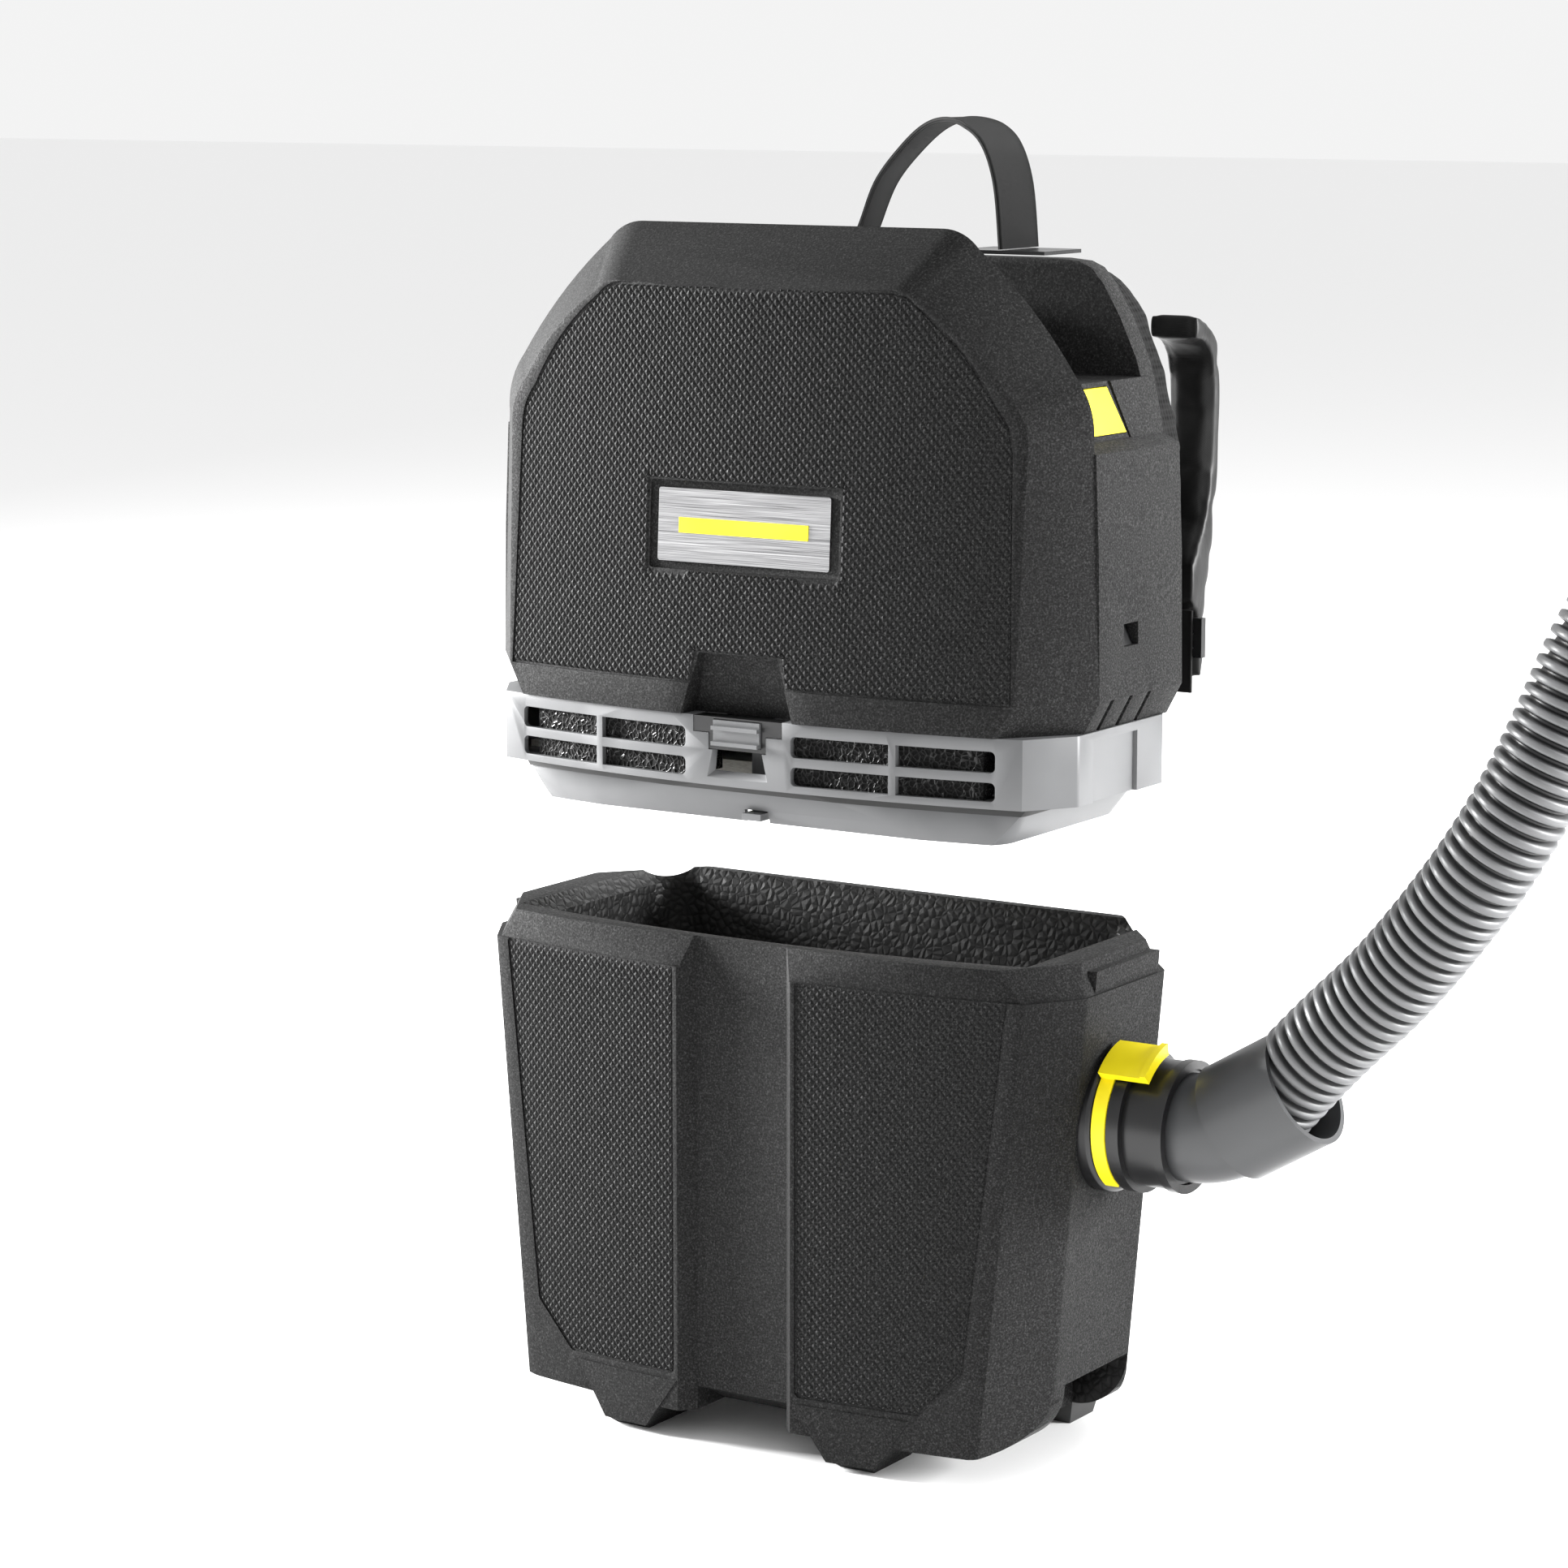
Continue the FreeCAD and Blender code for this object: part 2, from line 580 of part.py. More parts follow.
# seal in a groove round the top of the skirt
seal_z0, seal_z1 = band_z0 - 4.5, band_z0 - 0.5
ring_outer = loft(skirt_wire(-0.9, seal_z0), skirt_wire(-0.9, seal_z1))
ring_outer = ring_outer.common(Part.makeCylinder(crown_radius, 500, V(0, skirt_front - 0.9 + crown_radius, 0)))
ring_inner = loft(skirt_wire(1.1, seal_z0 - 0.01), skirt_wire(1.1, seal_z1 + 0.01))
ring_inner = ring_inner.common(Part.makeCylinder(crown_radius, 500, V(0, skirt_front + 1.1 + crown_radius, 0)))
gasket = ring_outer.cut(ring_inner)
save(skirt.cut(gasket), "sealing_skirt")
save(gasket, "skirt_gasket")

# main filter cassette inside the skirt
filter_z0, filter_z1 = skirt_z0 + 3.5, band_z0 + 4
cassette = box(-110, 110, -59, 36, filter_z0, filter_z1)
pleats = 22
pitch = 200 / pleats
cassette_edges = [e for e in cassette.Edges if abs(e.BoundBox.ZLength - (filter_z1 - filter_z0)) < 0.01]
filter_flange = box(-136, 136, -59, 52, band_z0 + 3, band_z0 + 6)
filter_flange = filter_flange.common(band_block(band_wall + clear, band_z0, band_z1))
cassette = cassette.makeFillet(8, cassette_edges).fuse(filter_flange)
for i in range(pleats):
    x = -100 + pitch * (i + 0.5)
    cassette = cassette.cut(box(x - 2.2, x + 2.2, -52, 29, filter_z0 - 1, filter_z0 + 9))
save(cassette, "main_filter")

# exhaust foams behind the windows
foam_z0, foam_z1 = band_z0 + 3, window_rows[1][1] + 1.5
foam = box(window_x0 - 2, 118, -95, -64, foam_z0, foam_z1)
foam_front = band_front + band_wall + soft_gap
foam = foam.common(Part.makeCylinder(crown_radius, 500, V(0, foam_front + crown_radius, 0)))
foams = both_sides(foam)
save(foams[0], "exhaust_foam_right")
save(foams[1], "exhaust_foam_left")

# latch
housing = box(-23.2, 23.2, band_front + 0.6, -82, latch_arm_z + 0.3, latch_z1)
housing = housing.fuse(box(-14.9, 14.9, band_front + 0.6, -82, latch_z0 + 0.3, latch_z1))
pocket = box(-12.6, 12.6, -120, -80, latch_z0 + 2.0, latch_z1 - 0.8)
housing = housing.cut(pocket)
save(housing, "latch_housing")

bar_z0, bar_z1 = latch_z0 + 2.4, latch_z1 - 1.2
bar = box(-12.2, 12.2, band_front - 0.6, -80, bar_z0, bar_z1)
for z in (bar_z0, bar_z0 + 7.0):
    bar = bar.fuse(box(-12.2, 12.2, band_front - 2.6, band_front, z, z + 1.8))
stem_y1 = -68.0
leg_y0 = stem_y1 - 3.4
bar = bar.fuse([
    box(-6, 6, -80.01, stem_y1, bar_z0 + 1, band_z1 - band_wall - 0.5),
    box(-nose_half, nose_half, leg_y0, stem_y1, nose_z0, bar_z0 + 2),
    box(-nose_half, nose_half, cavity_front + 1, stem_y1, nose_z0, nose_z1),
])
save(bar, "latch_button")


def coil(start, direction, radius, wire, pitch, turns):
    """A coil spring as stacked rings on a thin spine, so that it stays one solid."""
    axis = V(*direction)
    rings = [Part.makeTorus(radius, wire / 2, V(*start) + axis * (wire / 2 + pitch * i), axis)
             for i in range(turns)]
    across = V(0, 0, 1) if abs(axis.z) < 0.5 else V(1, 0, 0)
    spine = Part.makeCylinder(wire * 0.45, pitch * (turns - 1), V(*start) + axis * (wire / 2) + across * radius, axis)
    return rings[0].fuse(rings[1:] + [spine])


save(coil((0, stem_y1 + 0.1, bar_z0 + 5), (0, 1, 0), 3.4, 0.8, 1.4, 7), "latch_spring")
stop = box(-9, 9, -58.6, -55.6, bar_z0 - 1, band_z1 - band_wall)
save(stop, "latch_stop")

# ================================================================ head: front cover
outer_side = [
    (151.0, head_z0), (head_half_width, head_z0 + strip_height), (154.5, up(126)),
    (152.0, up(143)), (146.0, up(153)), (124.5, up(181)), (97.0, up(207)),
    (89.5, up(213)), (79.0, head_z1),
]
field_side = [
    (126.0, head_z0), (133.0, head_z0 + strip_height), (130.0, up(122)),
    (128.0, up(133)), (122.0, up(142)), (106.0, up(165)), (84.0, up(184)),
    (78.0, up(188.5)), (70.0, up(190)),
]
front_plane = -96.0
field_plane = -79.0
reach = (field_plane - front_plane) / (split_y - field_plane)
front_side = [(f[0] + (f[0] - o[0]) * reach, f[1] + (f[1] - o[1]) * reach)
              for f, o in zip(field_side, outer_side)]


def dome(points, y):
    """The head's outline: straight sides, turned corners, slanting shoulders and a flat top."""
    right = [V(x, y, z) for x, z in points]
    left = [V(-x, y, z) for x, z in points]
    return Part.Wire([
        Part.LineSegment(left[0], right[0]).toShape(),
        Part.LineSegment(right[0], right[1]).toShape(),
        Part.LineSegment(right[1], right[2]).toShape(),
        Part.Arc(right[2], right[3], right[4]).toShape(),
        Part.Arc(right[4], right[5], right[6]).toShape(),
        Part.Arc(right[6], right[7], right[8]).toShape(),
        Part.LineSegment(right[8], left[8]).toShape(),
        Part.Arc(left[8], left[7], left[6]).toShape(),
        Part.Arc(left[6], left[5], left[4]).toShape(),
        Part.Arc(left[4], left[3], left[2]).toShape(),
        Part.LineSegment(left[2], left[1]).toShape(),
        Part.LineSegment(left[1], left[0]).toShape(),
    ])


cover_front = band_front - 0.5
cover_lean = 0.055
cover = loft(dome(front_side, front_plane), dome(outer_side, split_y))
cover = cover.common(crowned(cover_front, head_z0, head_z1, cover_lean))
hollow_points = [(x - cover_wall, max(z - cover_wall, head_z0 - 5)) for x, z in outer_side]
deep_points = [(x - cover_wall * 1.3, max(z - cover_wall, head_z0 - 5)) for x, z in field_side]
hollow = loft(dome(deep_points, field_plane + 5), dome(hollow_points, split_y + 1))
bay_web = box(-200, 200, split_y - 10, split_y + 2, up(140) - 2, head_z1)
hollow = hollow.cut(bay_web)
cover = cover.cut(hollow)

# sunk field for the diamond texture
crown_back = crowned(cover_front + field_depth, head_z0, head_z1, cover_lean)
sunk = prism(dome([(x - 1, max(z, head_z0 + strip_height)) for x, z in field_side], front_plane - 20), "xz", 60)
cover = cover.cut(sunk.cut(crown_back))

# latch recess: deepens towards the bottom edge
notch = loft(
    polygon([(-30, cover_front - 8), (30, cover_front - 8), (28.5, cover_front + 11), (-28.5, cover_front + 11)],
            "xy", head_z0 - 0.01),
    polygon([(-22.5, cover_front - 8), (22.5, cover_front - 8), (20, cover_front + 6), (-20, cover_front + 6)],
            "xy", head_z0 + 28),
)
cover = cover.cut(notch)

# badge recess and badge
badge_z0, badge_z1 = head_z0 + 67.5, head_z0 + 100
badge_half = 45.2
badge_mid = (badge_z0 + badge_z1) / 2
badge_y = cover_front + cover_lean * (badge_mid - head_z0)
tilt = math.degrees(math.atan(cover_lean))


def tilted_box(half, height, y0, y1, radius):
    """A slab that leans back with the cover's front face, centred on the badge."""
    wire = rounded([(-half, -height / 2), (half, -height / 2), (half, height / 2), (-half, height / 2)],
                   radius, "xz", y0)
    slab = prism(wire, "xz", y1 - y0)
    slab.rotate(V(0, 0, 0), V(1, 0, 0), -tilt)
    slab.translate(V(0, badge_y, badge_mid))
    return slab


cover = cover.cut(tilted_box(badge_half + 4.6, badge_z1 - badge_z0 + 7, -20, 3.0, 2))
save(cover, "front_cover")
save(tilted_box(badge_half, badge_z1 - badge_z0, 1.4, 3.0, 1.2), "badge_plate")
stripe = prism(polygon([(-34, -3.4), (34, -3.4), (34, 3.4), (-34, 3.4)], "xz", 1.0), "xz", 0.4)
stripe.rotate(V(0, 0, 0), V(1, 0, 0), -tilt)
stripe.translate(V(0, badge_y, badge_mid))
save(stripe, "badge_stripe")

# ================================================================ head: rear body
lower_side = [
    (151.0, head_z0), (head_half_width, head_z0 + strip_height), (head_half_width - 1, up(74)), (155.5, shoulder_z),
    (147.5, shoulder_z + 4), (142.5, ledge_z),
]
wall_side = [
    (142.5, ledge_z - 1), (139.8, ledge_z + 8), (131.4, ledge_z + 26), (123.0, ledge_z + 40),
    (117.0, ledge_z + 46.8), (110.8, ledge_z + 49.5), (100.0, frame_top_z),
]
body_y0 = split_y
body = prism(polygon(mirrored(lower_side), "xz", body_y0), "xz", rear_y - body_y0)
body = body.fuse(prism(polygon(mirrored(wall_side), "xz", bay_back_y), "xz", rear_wall))

motor_y = -24.0
motor_room_z1 = head_z0 + 79
body = body.cut(box(-120, 120, body_y0 - 1, bay_back_y, head_z0 - 1, motor_room_z1))
bay_half, bay_y0, bay_y1, bay_z0 = 64.0, -44.0, 12.0, up(88)
body = body.cut(box(-bay_half, bay_half, bay_y0, bay_y1, bay_z0, head_z1))

# windows for the clips, grooves in the strip
clip_y0, clip_y1 = -25.6, -12.7
clip_z0, clip_z1 = head_z0 + 36, head_z0 + 46
clip_depth = 14.0
for side in (1, -1):
    x0, x1 = sorted((side * (head_half_width - clip_depth), side * (head_half_width + 2)))
    body = body.cut(box(x0, x1, clip_y0, clip_y1, clip_z0, clip_z1))
    for y in (-36, -19, -2):
        x0, x1 = sorted((side * 149.6, side * 165))
        body = body.cut(box(x0, x1, y - 1.5, y + 1.5, head_z0 - 1, head_z0 + strip_height))

# release tile in the right-hand facet
tile_outline = [(-40, ledge_z - 2.5), (-15, ledge_z - 2.5), (-4.5, shoulder_z + 6.5), (-40, shoulder_z + 6.5)]
tile_mid_y, tile_mid_z = -25.0, ledge_z - 13.0


def grown(points, by):
    """The outline moved out from its middle by about the given distance."""
    out = []
    for y, z in points:
        out.append((y + math.copysign(by, y - tile_mid_y), z + math.copysign(by, z - tile_mid_z)))
    return out



release_travel = 3.0
tile_back_x = 134.0
body = body.cut(prism(polygon(grown(tile_outline, clear), "yz", tile_back_x - release_travel - 1), "yz", 60))
rim_cut = prism(polygon(grown(tile_outline, 2.5), "yz", 120), "yz", 60)
facet = prism(polygon([(100, ledge_z + 5), (140.2, ledge_z + 5), (148.0, shoulder_z - 2), (100, shoulder_z - 2)],
                      "xz", -60), "xz", 80)
body = body.cut(rim_cut.cut(facet))
tile = prism(polygon(tile_outline, "yz", tile_back_x), "yz", 30)
tile = tile.common(prism(polygon(
    [(100, ledge_z + 5), (140.5, ledge_z + 5), (148.3, shoulder_z - 2), (100, shoulder_z - 2)], "xz", -60), "xz", 80))
guide = box(bay_half + 14, tile_back_x + 0.01, -28, -20, tile_mid_z - 4, tile_mid_z + 4)
guide_hole = box(bay_half + 4.4, tile_back_x, -28 - clear, -20 + clear,
                 tile_mid_z - 4 - clear, tile_mid_z + 4 + clear)
body = body.cut(guide_hole)
tile = tile.fuse(guide)

# on/off button in the left-hand facet
button_radius = 9.0
button_y, button_z = -20.0, ledge_z - 13.0
power_travel = 2.0
button_face_x = -146.4
button_back_x = -132.0
body = body.cut(rod((button_back_x + power_travel + 8, button_y, button_z), (-1, 0, 0), button_radius + 2.6, 40))
bezel = tube((button_back_x + power_travel + 8, button_y, button_z), (-1, 0, 0), button_radius + 2.5,
             button_radius + clear, 21.5)
power = rod((button_back_x, button_y, button_z), (-1, 0, 0), button_radius, button_back_x - button_face_x)
power = power.makeFillet(1.2, [e for e in power.Edges if e.BoundBox.XMax < button_face_x + 0.1])

# bores for the frame screws, recess for the terminal block
for x, y in screw_places:
    body = body.cut(rod((x, y, head_z0 - 1), (0, 0, 1), screw_radius, screw_length + 1))
terminal_z0 = bay_z0 - 6
body = body.cut(box(-20, 20, -30, -8, terminal_z0, bay_z0 + 1))
save(body, "rear_body")
save(tile, "battery_release_button")
save(power, "power_button")
save(bezel, "power_bezel")
save(coil((bay_half + 4.5, -24, tile_mid_z), (1, 0, 0), 3.2, 0.8, 1.7, 6), "release_spring")
save(coil((button_back_x + power_travel + 7.8, button_y, button_z), (-1, 0, 0), 4.0, 0.8, 1.8, 6), "power_spring")

clips = []
for side in (1, -1):
    clip = prism(polygon([
        (head_half_width - clip_depth, clip_z0), (head_half_width - 3.0, clip_z0),
        (head_half_width - 6.5, clip_z1 - 1.5), (head_half_width - 6.5, clip_z1),
        (head_half_width - clip_depth, clip_z1)], "xz", clip_y0), "xz", clip_y1 - clip_y0)
    clips.append(clip if side == 1 else clip.mirror(V(0, 0, 0), V(1, 0, 0)))
save(Part.makeCompound(clips), "side_clips")

# battery pack with its slots, terminal block in the floor of the bay
pack_half, pack_y0, pack_y1 = bay_half - 1.5, bay_y0 + 1.5, bay_y1 - 1.5
pack_z0, pack_z1 = bay_z0 + 0.5, up(184)
pack_wire = rounded(mirrored([(pack_half, pack_y0), (pack_half, pack_y1)]), 6, "xy", pack_z0)
pack = prism(pack_wire, "xy", pack_z1 - pack_z0)
pack = pack.makeFillet(5, [e for e in pack.Edges if e.BoundBox.ZMin > pack_z1 - 0.1])
pack = pack.cut(box(-22, 22, -32, -6, pack_z0 - 1, pack_z0 + 12))
grip_slot = prism(rounded([(-38, -24), (38, -24), (38, -10), (-38, -10)], 5, "xy", pack_z1 - 14), "xy", 30)
save(pack.cut(grip_slot), "battery_pack")
block = box(-20, 20, -30, -8, terminal_z0, bay_z0 + 2)
for x in (-12, -4, 4, 12):
    block = block.fuse(box(x - 0.6, x + 0.6, -26, -12, bay_z0 + 1, bay_z0 + 9))
save(block, "battery_terminals")

# ================================================================ motor unit
plate_thickness = 3.0
plate_z1 = head_z0 + plate_thickness
cup_outer, cup_wall = 39.5, 2.5
cup_inner = cup_outer - cup_wall
housing_split_z = head_z0 + 36
housing_z1 = head_z0 + 74
spigot_radius = 18.0


def on_motor(radius, z0, z1):
    return Part.makeCylinder(radius, z1 - z0, V(0, motor_y, z0))


lower = box(-112, 112, -72, bay_back_y - clear, head_z0, plate_z1)
lower = lower.fuse([on_motor(cup_outer, head_z0, housing_split_z), on_motor(spigot_radius, head_z0 - 5, head_z0 + 1)])
lower = lower.cut(on_motor(cup_inner, plate_z1, housing_split_z + 1)).cut(on_motor(spigot_radius - 2.5, 0, 500))
save(lower, "motor_housing_lower")
upper = on_motor(cup_outer, housing_split_z, housing_z1).cut(on_motor(cup_inner, 0, housing_z1 - cup_wall))
for side in (1, -1):
    vent = box(side * 34 - 10, side * 34 + 10, motor_y - 12, motor_y + 12, housing_split_z + 6, housing_z1 - 12)
    upper = upper.cut(vent)
save(upper, "motor_housing_upper")

fan_radius = cup_inner - 2
fan_z0, fan_z1 = plate_z1 + 4, plate_z1 + 20
shaft_radius = 3.0
fan = on_motor(fan_radius, fan_z1 - 1.5, fan_z1)
fan = fan.fuse(on_motor(fan_radius, fan_z0, fan_z0 + 1.5).cut(on_motor(15, 0, 500)))
fan = fan.fuse(on_motor(7, fan_z0, fan_z1))
for i in range(9):
    blade = box(6, fan_radius - 0.5, -0.8, 0.8, fan_z0, fan_z1)
    blade.rotate(V(0, 0, 0), V(0, 0, 1), 40 * i)
    blade.translate(V(0, motor_y, 0))
    fan = fan.fuse(blade)
save(fan.cut(on_motor(shaft_radius, 0, 500)), "fan_impeller")
motor_z0, motor_z1 = fan_z1 + 6, housing_z1 - cup_wall - 2
motor_radius = 29.0
save(on_motor(shaft_radius, fan_z0 - 1, motor_z0 + 18), "motor_shaft")
motor = on_motor(motor_radius, motor_z0, motor_z1).fuse(on_motor(11, motor_z0 - 3, motor_z0 + 1))
motor = motor.cut(on_motor(shaft_radius + 0.3, 0, motor_z0 + 18.5))
save(motor, "motor")
mount_z0 = motor_z0 + 6
save(on_motor(cup_inner - 0.05, mount_z0, mount_z0 + 8).cut(on_motor(motor_radius + 0.05, 0, 500)), "motor_mount_ring")
motor_filter = on_motor(27, head_z0 - 22, head_z0 - 4).cut(on_motor(spigot_radius + 0.2, head_z0 - 10, 500))
save(motor_filter, "motor_filter")

# control board on its standoffs, in front of the battery bay
board_y = split_y - 16
board_z0, board_z1 = up(92), up(140)
board = box(-44, 44, board_y, board_y + 1.6, board_z0, board_z1)
for x, z, w, h in ((-26, 14, 18, 12), (4, 12, 22, 14), (28, 30, 10, 10), (-8, 34, 12, 8)):
    board = board.fuse(box(x - w / 2, x + w / 2, board_y - 4, board_y, board_z0 + z - h / 2, board_z0 + z + h / 2))
save(board, "control_board")
standoffs = [rod((x, board_y + 1.6, z), (0, 1, 0), 3, split_y - board_y - 1.6)
             for x in (-39, 39) for z in (board_z0 + 5, board_z1 - 5)]
save(Part.makeCompound(standoffs), "board_standoffs")

# screws from below through the frame's deck
screws = []
for x, y in screw_places:
    screw = rod((x, y, band_z1 - band_wall - 2.4), (0, 0, 1), 3.8, 2.4)
    screws.append(screw.fuse(rod((x, y, band_z1 - band_wall - 0.01), (0, 0, 1), screw_radius,
                                 band_wall + screw_length - 1)))
save(Part.makeCompound(screws), "frame_screws")

# ================================================================ back plate, pad and harness
pad_side = [
    (150.0, up(2)), (151.5, up(64)), (150.0, up(119)), (146.0, up(134)),
    (141.5, up(151)), (137.0, up(166)), (128.0, up(184)), (118.0, up(196)),
    (108.0, up(200.5)),
]
plate_y0, back_plate_thickness = rear_y, 2.5
plate_side = [(x - 12, z - (6 if z > ledge_z else -8)) for x, z in pad_side]
save(prism(polygon(mirrored(plate_side), "xz", plate_y0), "xz", back_plate_thickness), "back_plate")
pad_y0 = plate_y0 + back_plate_thickness + soft_gap
pad = prism(polygon(mirrored(pad_side), "xz", pad_y0), "xz", back_y - pad_y0)
save(pad, "back_pad")

strap_y0 = back_y + soft_gap
strap_outer_side = [
    (0, 176), (12.7, 173), (25.7, 164), (30.7, 134), (29.7, 104), (25.5, 70), (19.5, 40), (15, 10), (13.5, 8),
    (8, 8), (7, 12), (7, 41), (0, 43),
]
strap_inner_side = [(0, 162), (11.7, 160), (17.7, 153), (20.2, 132), (19.2, 106), (13.7, 83), (0, 62)]
strap_outline = [(strap_y0 + y, up(z)) for y, z in strap_outer_side]
strap_inner = [(strap_y0 + y, up(z)) for y, z in strap_inner_side]
strap = prism(polygon(strap_outline, "yz", 118), "yz", 28)
strap = strap.cut(prism(polygon(strap_inner, "yz", 110), "yz", 50))
straps = both_sides(strap)
save(straps[0], "shoulder_strap_right")
save(straps[1], "shoulder_strap_left")
webbing_z0, webbing_z1 = head_z0 + 4, up(42) - 0.5
webbing = box(125, 145, strap_y0, strap_y0 + 1.8, webbing_z0, webbing_z1)
webs = both_sides(webbing)
save(webs[0], "strap_webbing_right")
save(webs[1], "strap_webbing_left")
buckle_z0 = head_z0 + 20
buckles = []
for web_side in (1, -1):
    buckle = box(121, 149, strap_y0 + 2.1, strap_y0 + 6, buckle_z0, buckle_z0 + 18)
    buckle = buckle.cut(box(125, 145, 0, 100, buckle_z0 + 4, buckle_z0 + 7.5))
    buckle = buckle.cut(box(125, 145, 0, 100, buckle_z0 + 10.5, buckle_z0 + 14))
    buckles.append(buckle if web_side == 1 else buckle.mirror(V(0, 0, 0), V(1, 0, 0)))
save(Part.makeCompound(buckles), "strap_buckles")

# carrying handle: a webbing loop sewn to the top of the pad
handle_y, handle_width, webbing_thickness = 48.0, 34.0, 2.4
pad_top = pad_side[-1][1]
handle_points = [
    (-21.5, 3.0), (-17.5, 12), (-9, 31), (4, 46), (17, 56.5), (29, 60), (42, 57.5), (52, 49), (58.5, 31), (61.5, 2.4),
]


def beside(points, distance):
    """A smooth curve through the points, each moved square to the line through its neighbours."""
    moved = []
    for i, (x, z) in enumerate(points):
        (x0, z0), (x1, z1) = points[max(i - 1, 0)], points[min(i + 1, len(points) - 1)]
        run = math.hypot(x1 - x0, z1 - z0)
        moved.append(V(x - (z1 - z0) / run * distance, handle_y - handle_width / 2,
                       pad_top + z + (x1 - x0) / run * distance))
    curve = Part.BSplineCurve()
    curve.interpolate(moved)
    return curve.toShape(), moved


outside, outside_points = beside(handle_points, webbing_thickness / 2)
inside, inside_points = beside(handle_points, -webbing_thickness / 2)
outline = Part.Wire([
    outside,
    Part.LineSegment(outside_points[-1], inside_points[-1]).toShape(),
    inside,
    Part.LineSegment(inside_points[0], outside_points[0]).toShape(),
])
save(Part.Face(outline).extrude(V(0, handle_width, 0)), "top_handle")
anchor_y0, anchor_y1 = handle_y - handle_width / 2, handle_y + handle_width / 2
anchors = [box(x - 23, x + 23, anchor_y0, anchor_y1, pad_top + soft_gap, pad_top + 2.0) 
           for x in (handle_points[0][0], handle_points[-1][0])]
save(Part.makeCompound(anchors), "handle_anchors")
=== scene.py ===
# %% [markdown]
# # Backpack vacuum cleaner
# The machine stands on the floor with its motor head lifted off the dust container.
# Every hard piece comes from the CAD frame at its real size. This lesson gives those pieces their
# finish, and makes the soft pieces, the ribbed hose and the moulded textures that CAD leaves plain.

# %% Load the frame
import bpy
import math
from mathutils import Matrix, Vector


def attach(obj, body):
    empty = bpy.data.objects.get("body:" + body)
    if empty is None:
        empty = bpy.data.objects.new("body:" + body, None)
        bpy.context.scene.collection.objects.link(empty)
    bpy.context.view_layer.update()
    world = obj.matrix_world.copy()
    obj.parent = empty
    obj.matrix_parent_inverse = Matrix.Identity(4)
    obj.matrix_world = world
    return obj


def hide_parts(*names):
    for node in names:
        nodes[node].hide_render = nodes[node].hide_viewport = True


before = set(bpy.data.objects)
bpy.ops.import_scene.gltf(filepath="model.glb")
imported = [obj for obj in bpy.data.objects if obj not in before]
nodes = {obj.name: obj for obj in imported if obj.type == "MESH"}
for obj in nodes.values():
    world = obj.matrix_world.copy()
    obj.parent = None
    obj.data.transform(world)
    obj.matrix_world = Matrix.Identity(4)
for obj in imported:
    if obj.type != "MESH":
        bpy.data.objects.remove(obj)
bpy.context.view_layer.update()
MM = 0.001

# %% [markdown]
# ## Camera
# A long lens from the front right, a little above the machine, keeps its upright edges nearly parallel.
# It could be aimed at a target, but a turn about the vertical and a tilt are easier to set one at a
# time, so its place follows from those two angles, the distance, and a small step sideways and up.

# %% Camera
turn, tilt = math.radians(32.8), math.radians(9.5)
distance, step_left, step_up = 2.121, 0.0373, 0.3369
stands_by = Vector((0, 0.016, -0.05))
towards = Vector((math.sin(turn) * math.cos(tilt), -math.cos(turn) * math.cos(tilt), math.sin(tilt)))
sideways = Vector((math.cos(turn), math.sin(turn), 0))
upwards = towards.cross(sideways)
place = towards * distance - sideways * step_left + upwards * step_up + stands_by
lens = bpy.data.cameras.new("camera")
lens.sensor_width = 36
lens.lens = 102.2
camera = bpy.data.objects.new("camera", lens)
bpy.context.collection.objects.link(camera)
facing = Matrix((sideways, upwards, towards)).transposed().to_4x4()
camera.matrix_world = Matrix.Translation(place) @ facing
bpy.context.scene.camera = camera
print("camera at", [round(x, 3) for x in place])

# %% [markdown]
# ## Stage
# A studio sweep: one pale matt floor and a white surround. The surround alone lights every side of
# the black shells by nearly the same amount, so their form has to come from the lamps of the next step.

# %% Floor and surround
bpy.ops.object.select_all(action="DESELECT")
bpy.ops.mesh.primitive_plane_add(size=40, location=(0, 0, 0))
floor = bpy.context.object
floor.name = "floor"
paper_white = bpy.data.materials.new("floor_paper")
paper_white.use_nodes = True
paper_shader = paper_white.node_tree.nodes["Principled BSDF"]
paper_shader.inputs["Base Color"].default_value = (0.93, 0.93, 0.93, 1)
paper_shader.inputs["Roughness"].default_value = 0.9
floor.data.materials.append(paper_white)

world = bpy.data.worlds.new("studio")
bpy.context.scene.world = world
world.use_nodes = True
surround = world.node_tree.nodes["Background"]
surround.inputs["Color"].default_value = (1, 1, 1, 1)
surround.inputs["Strength"].default_value = 0.9
bpy.context.scene.view_settings.view_transform = "Standard"
print("surround strength", round(surround.inputs["Strength"].default_value, 2))

# %% [markdown]
# ### Lamps
# A soft key grazes the front from the left, so that the crowned faces turn from light to dark. A
# second lamp from the right and behind reaches only the side faces, and a third draws the upper
# edges of the dark shells.


# %% Three soft lamps
def soft_light(name, at, size, watts, aim=(0, 0, 0.3)):
    """A square light of that size, turned towards a point on the machine."""
    data = bpy.data.lights.new(name, "AREA")
    data.size = size
    data.energy = watts
    lamp = bpy.data.objects.new(name, data)
    bpy.context.collection.objects.link(lamp)
    lamp.location = at
    lamp.rotation_euler = (Vector(aim) - Vector(at)).to_track_quat("-Z", "Y").to_euler()
    return lamp


soft_light("key", (-2.5, -0.42, 0.9), 0.7, 330)
soft_light("side", (2.1, 0.9, 0.8), 0.7, 150)
soft_light("edge", (0.2, 2.2, 1.8), 1.4, 30)

